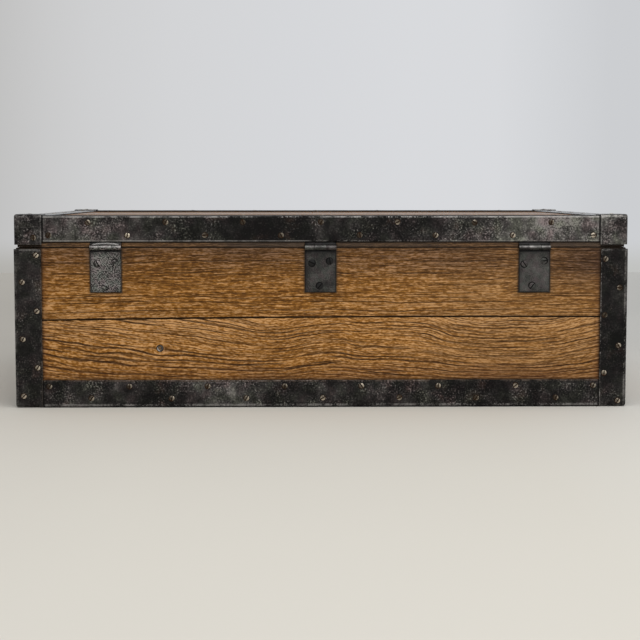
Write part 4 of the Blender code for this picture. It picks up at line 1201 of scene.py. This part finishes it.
class CHEST_OT_set_stage(bpy.types.Operator):
    """Sets the floor, the wall behind, the light and the camera"""

    bl_idname = "chest.set_stage"
    bl_label = "Set stage"

    def execute(self, context):
        look, scene = context.scene.chest_stage, context.scene
        self.make_ground(look)
        self.make_lights(look, scene)
        camera = bpy.data.objects.new("camera", bpy.data.cameras.new("camera"))
        camera.data.lens, camera.data.sensor_width = look.lens, FILM_WIDTH
        camera.location, camera.rotation_euler = look.eye, look.aim
        scene.collection.objects.link(camera)
        scene.camera = camera
        scene.view_settings.view_transform = "Standard"
        return {"FINISHED"}

    def make_ground(self, look):
        """A floor and a wall behind."""
        floor = ((-8.0, -6.0, 0.0), (8.0, -6.0, 0.0), (8.0, 8.0, 0.0), (-8.0, 8.0, 0.0))
        wall = ((-7.0, -2.85, 5.0), (7.0, -2.85, 5.0), (7.0, -2.85, 0.0), (-7.0, -2.85, 0.0))
        for name, paint, corners in (
                ("floor", self.paint_floor(look), floor), ("wall", self.glowing_wall(), wall)):
            mesh = bpy.data.meshes.new(name)
            mesh.from_pydata(corners, [], [(0, 1, 2, 3)])
            mesh.materials.append(paint)
            ground = bpy.data.objects.new(name, mesh)
            bpy.context.scene.collection.objects.link(ground)

    def paint_floor(self, look):
        """Pale paint, cloudy, with painted shade behind the chest, painted light further back, and painted
        light that leaves one side lighter and cooler than the other.
        """
        finish = Finish("floor_paint")
        point, x, y, _ = finish.place()
        cloud = finish.grain(point, 2.2, 3.0)
        finish.shade = finish.blend((cloud - 0.5) * 0.12 + 0.02, look.floor, look.clouds)
        # Painted shade on the floor behind the chest, and painted light further back.
        depth = ((0.05, 1.20), (0.28, 1.08), (0.42, 0.98), (0.525, 0.94), (0.606, 0.88), (0.64, 0.88),
                 (0.672, 0.91), (0.725, 0.98), (0.775, 1.0))
        greys = [(at, (share, share, share)) for at, share in depth]
        finish.tint(finish.ramp(y / 4.0 + 0.75, greys))
        # Painted light: lighter and cooler to one side, darker to the other.
        sides = [(0.20, (1.07, 1.10, 1.16)), (0.40, WHITE), (0.60, WHITE), (0.80, (0.95, 0.94, 0.94))]
        finish.tint(finish.ramp(x / 2.0 + 0.5, sides))
        return finish.surface(roughness=0.75, specular_ior_level=0.2)

    def glowing_wall(self):
        """A glowing backdrop, which is painted light; it shows only from its front, to the camera and in
        reflections, and lets light through.
        """
        finish = Finish("wall_glow")
        _, x, _, z = finish.place()
        # The glow falls off towards the sides, as painted light.
        fade = finish.ramp(x / 3.0 + 0.5, [
            (0.167, (0.605, 0.617, 0.637)), (0.247, (0.660, 0.672, 0.694)), (0.290, (0.690, 0.700, 0.722)),
            (0.380, (0.690, 0.700, 0.722)), (0.511, (0.670, 0.679, 0.700)), (0.643, (0.652, 0.658, 0.672)),
            (0.730, (0.621, 0.624, 0.632)), (0.777, (0.590, 0.591, 0.594)), (0.860, (0.510, 0.508, 0.504))])
        # Painted shade at the wall's foot.
        foot = finish.ramp(x / 3.0 + 0.5, [
            (0.167, (0.53, 0.535, 0.52)), (0.5, (0.47, 0.465, 0.445)), (0.86, (0.44, 0.43, 0.405))])
        shade = finish.blend(z.rise(0.12, 0.0), fade, foot)
        glow = finish.node("ShaderNodeEmission", sockets={"Color": shade})
        clear = finish.node("ShaderNodeBsdfTransparent")
        behind = finish.node("ShaderNodeNewGeometry", out="Backfacing")
        direct, mirrored = finish.node("ShaderNodeLightPath", out=("Is Camera Ray", "Is Glossy Ray"))
        seen = direct.most(mirrored) * (1.0 - behind)
        shader = finish.node("ShaderNodeMixShader", sockets={0: seen, 1: clear, 2: glow})
        finish.node("ShaderNodeOutputMaterial", sockets={"Surface": shader})
        return finish.material

    def make_lights(self, look, scene):
        """Two soft panels and even light all round."""
        for name, power, size, at, aim in (
                ("top_panel", look.top_light, (2.6, 1.6), (-0.35, 0.80, 2.1), (-0.1, 0.15, 0.1)),
                ("front_panel", look.front_light, (1.8, 1.0), (-0.5, 2.2, 1.3), (0.0, 0.25, 0.10))):
            lamp = bpy.data.lights.new(name, "AREA")
            lamp.shape, lamp.energy = "RECTANGLE", power
            lamp.size, lamp.size_y = size
            stand = bpy.data.objects.new(name, lamp)
            stand.location = at
            stand.rotation_euler = (Vector(aim) - Vector(at)).to_track_quat("-Z", "Y").to_euler()
            scene.collection.objects.link(stand)
        world = bpy.data.worlds.new("even_light")
        world.use_nodes = True
        sky = world.node_tree.nodes["Background"].inputs
        sky["Color"].default_value = (0.96, 0.98, 1.0, 1.0)
        sky["Strength"].default_value = look.sky
        scene.world = world


class CHEST_PT_looks(bpy.types.Panel):
    """Lists the steps of the chest's looks"""

    bl_label = "Chest looks"
    bl_idname = "CHEST_PT_looks"
    bl_space_type = "VIEW_3D"
    bl_region_type = "UI"
    bl_category = "Chest"

    def draw(self, context):
        for step in STEPS:
            self.layout.operator(step.bl_idname)
        for group in GROUPS:
            box = self.layout.box()
            box.label(text=group)
            values = getattr(context.scene, group)
            for key in values.__annotations__:
                box.prop(values, key)


GROUPS = {"chest_oak": OakLook, "chest_iron": IronLook, "chest_screws": ScrewLook, "chest_stage": StageLook}
STEPS = (
    CHEST_OT_set_stage, CHEST_OT_lay_boards, CHEST_OT_fit_irons, CHEST_OT_hang_hinges, CHEST_OT_drive_screws,
    CHEST_OT_fit_lock, CHEST_OT_fit_handles)


def register():
    for kind in (*GROUPS.values(), *STEPS, CHEST_PT_looks):
        bpy.utils.register_class(kind)
    for name, kind in GROUPS.items():
        setattr(bpy.types.Scene, name, PointerProperty(type=kind))


def unregister():
    for name in GROUPS:
        delattr(bpy.types.Scene, name)
    for kind in (CHEST_PT_looks, *reversed(STEPS), *reversed(GROUPS.values())):
        bpy.utils.unregister_class(kind)


def main():
    register()
    bpy.ops.chest.set_stage()
    bpy.ops.chest.lay_boards()
    bpy.ops.chest.fit_irons()
    bpy.ops.chest.hang_hinges()
    bpy.ops.chest.drive_screws()
    bpy.ops.chest.fit_lock()
    bpy.ops.chest.fit_handles()


if __name__ == "__main__":
    main()
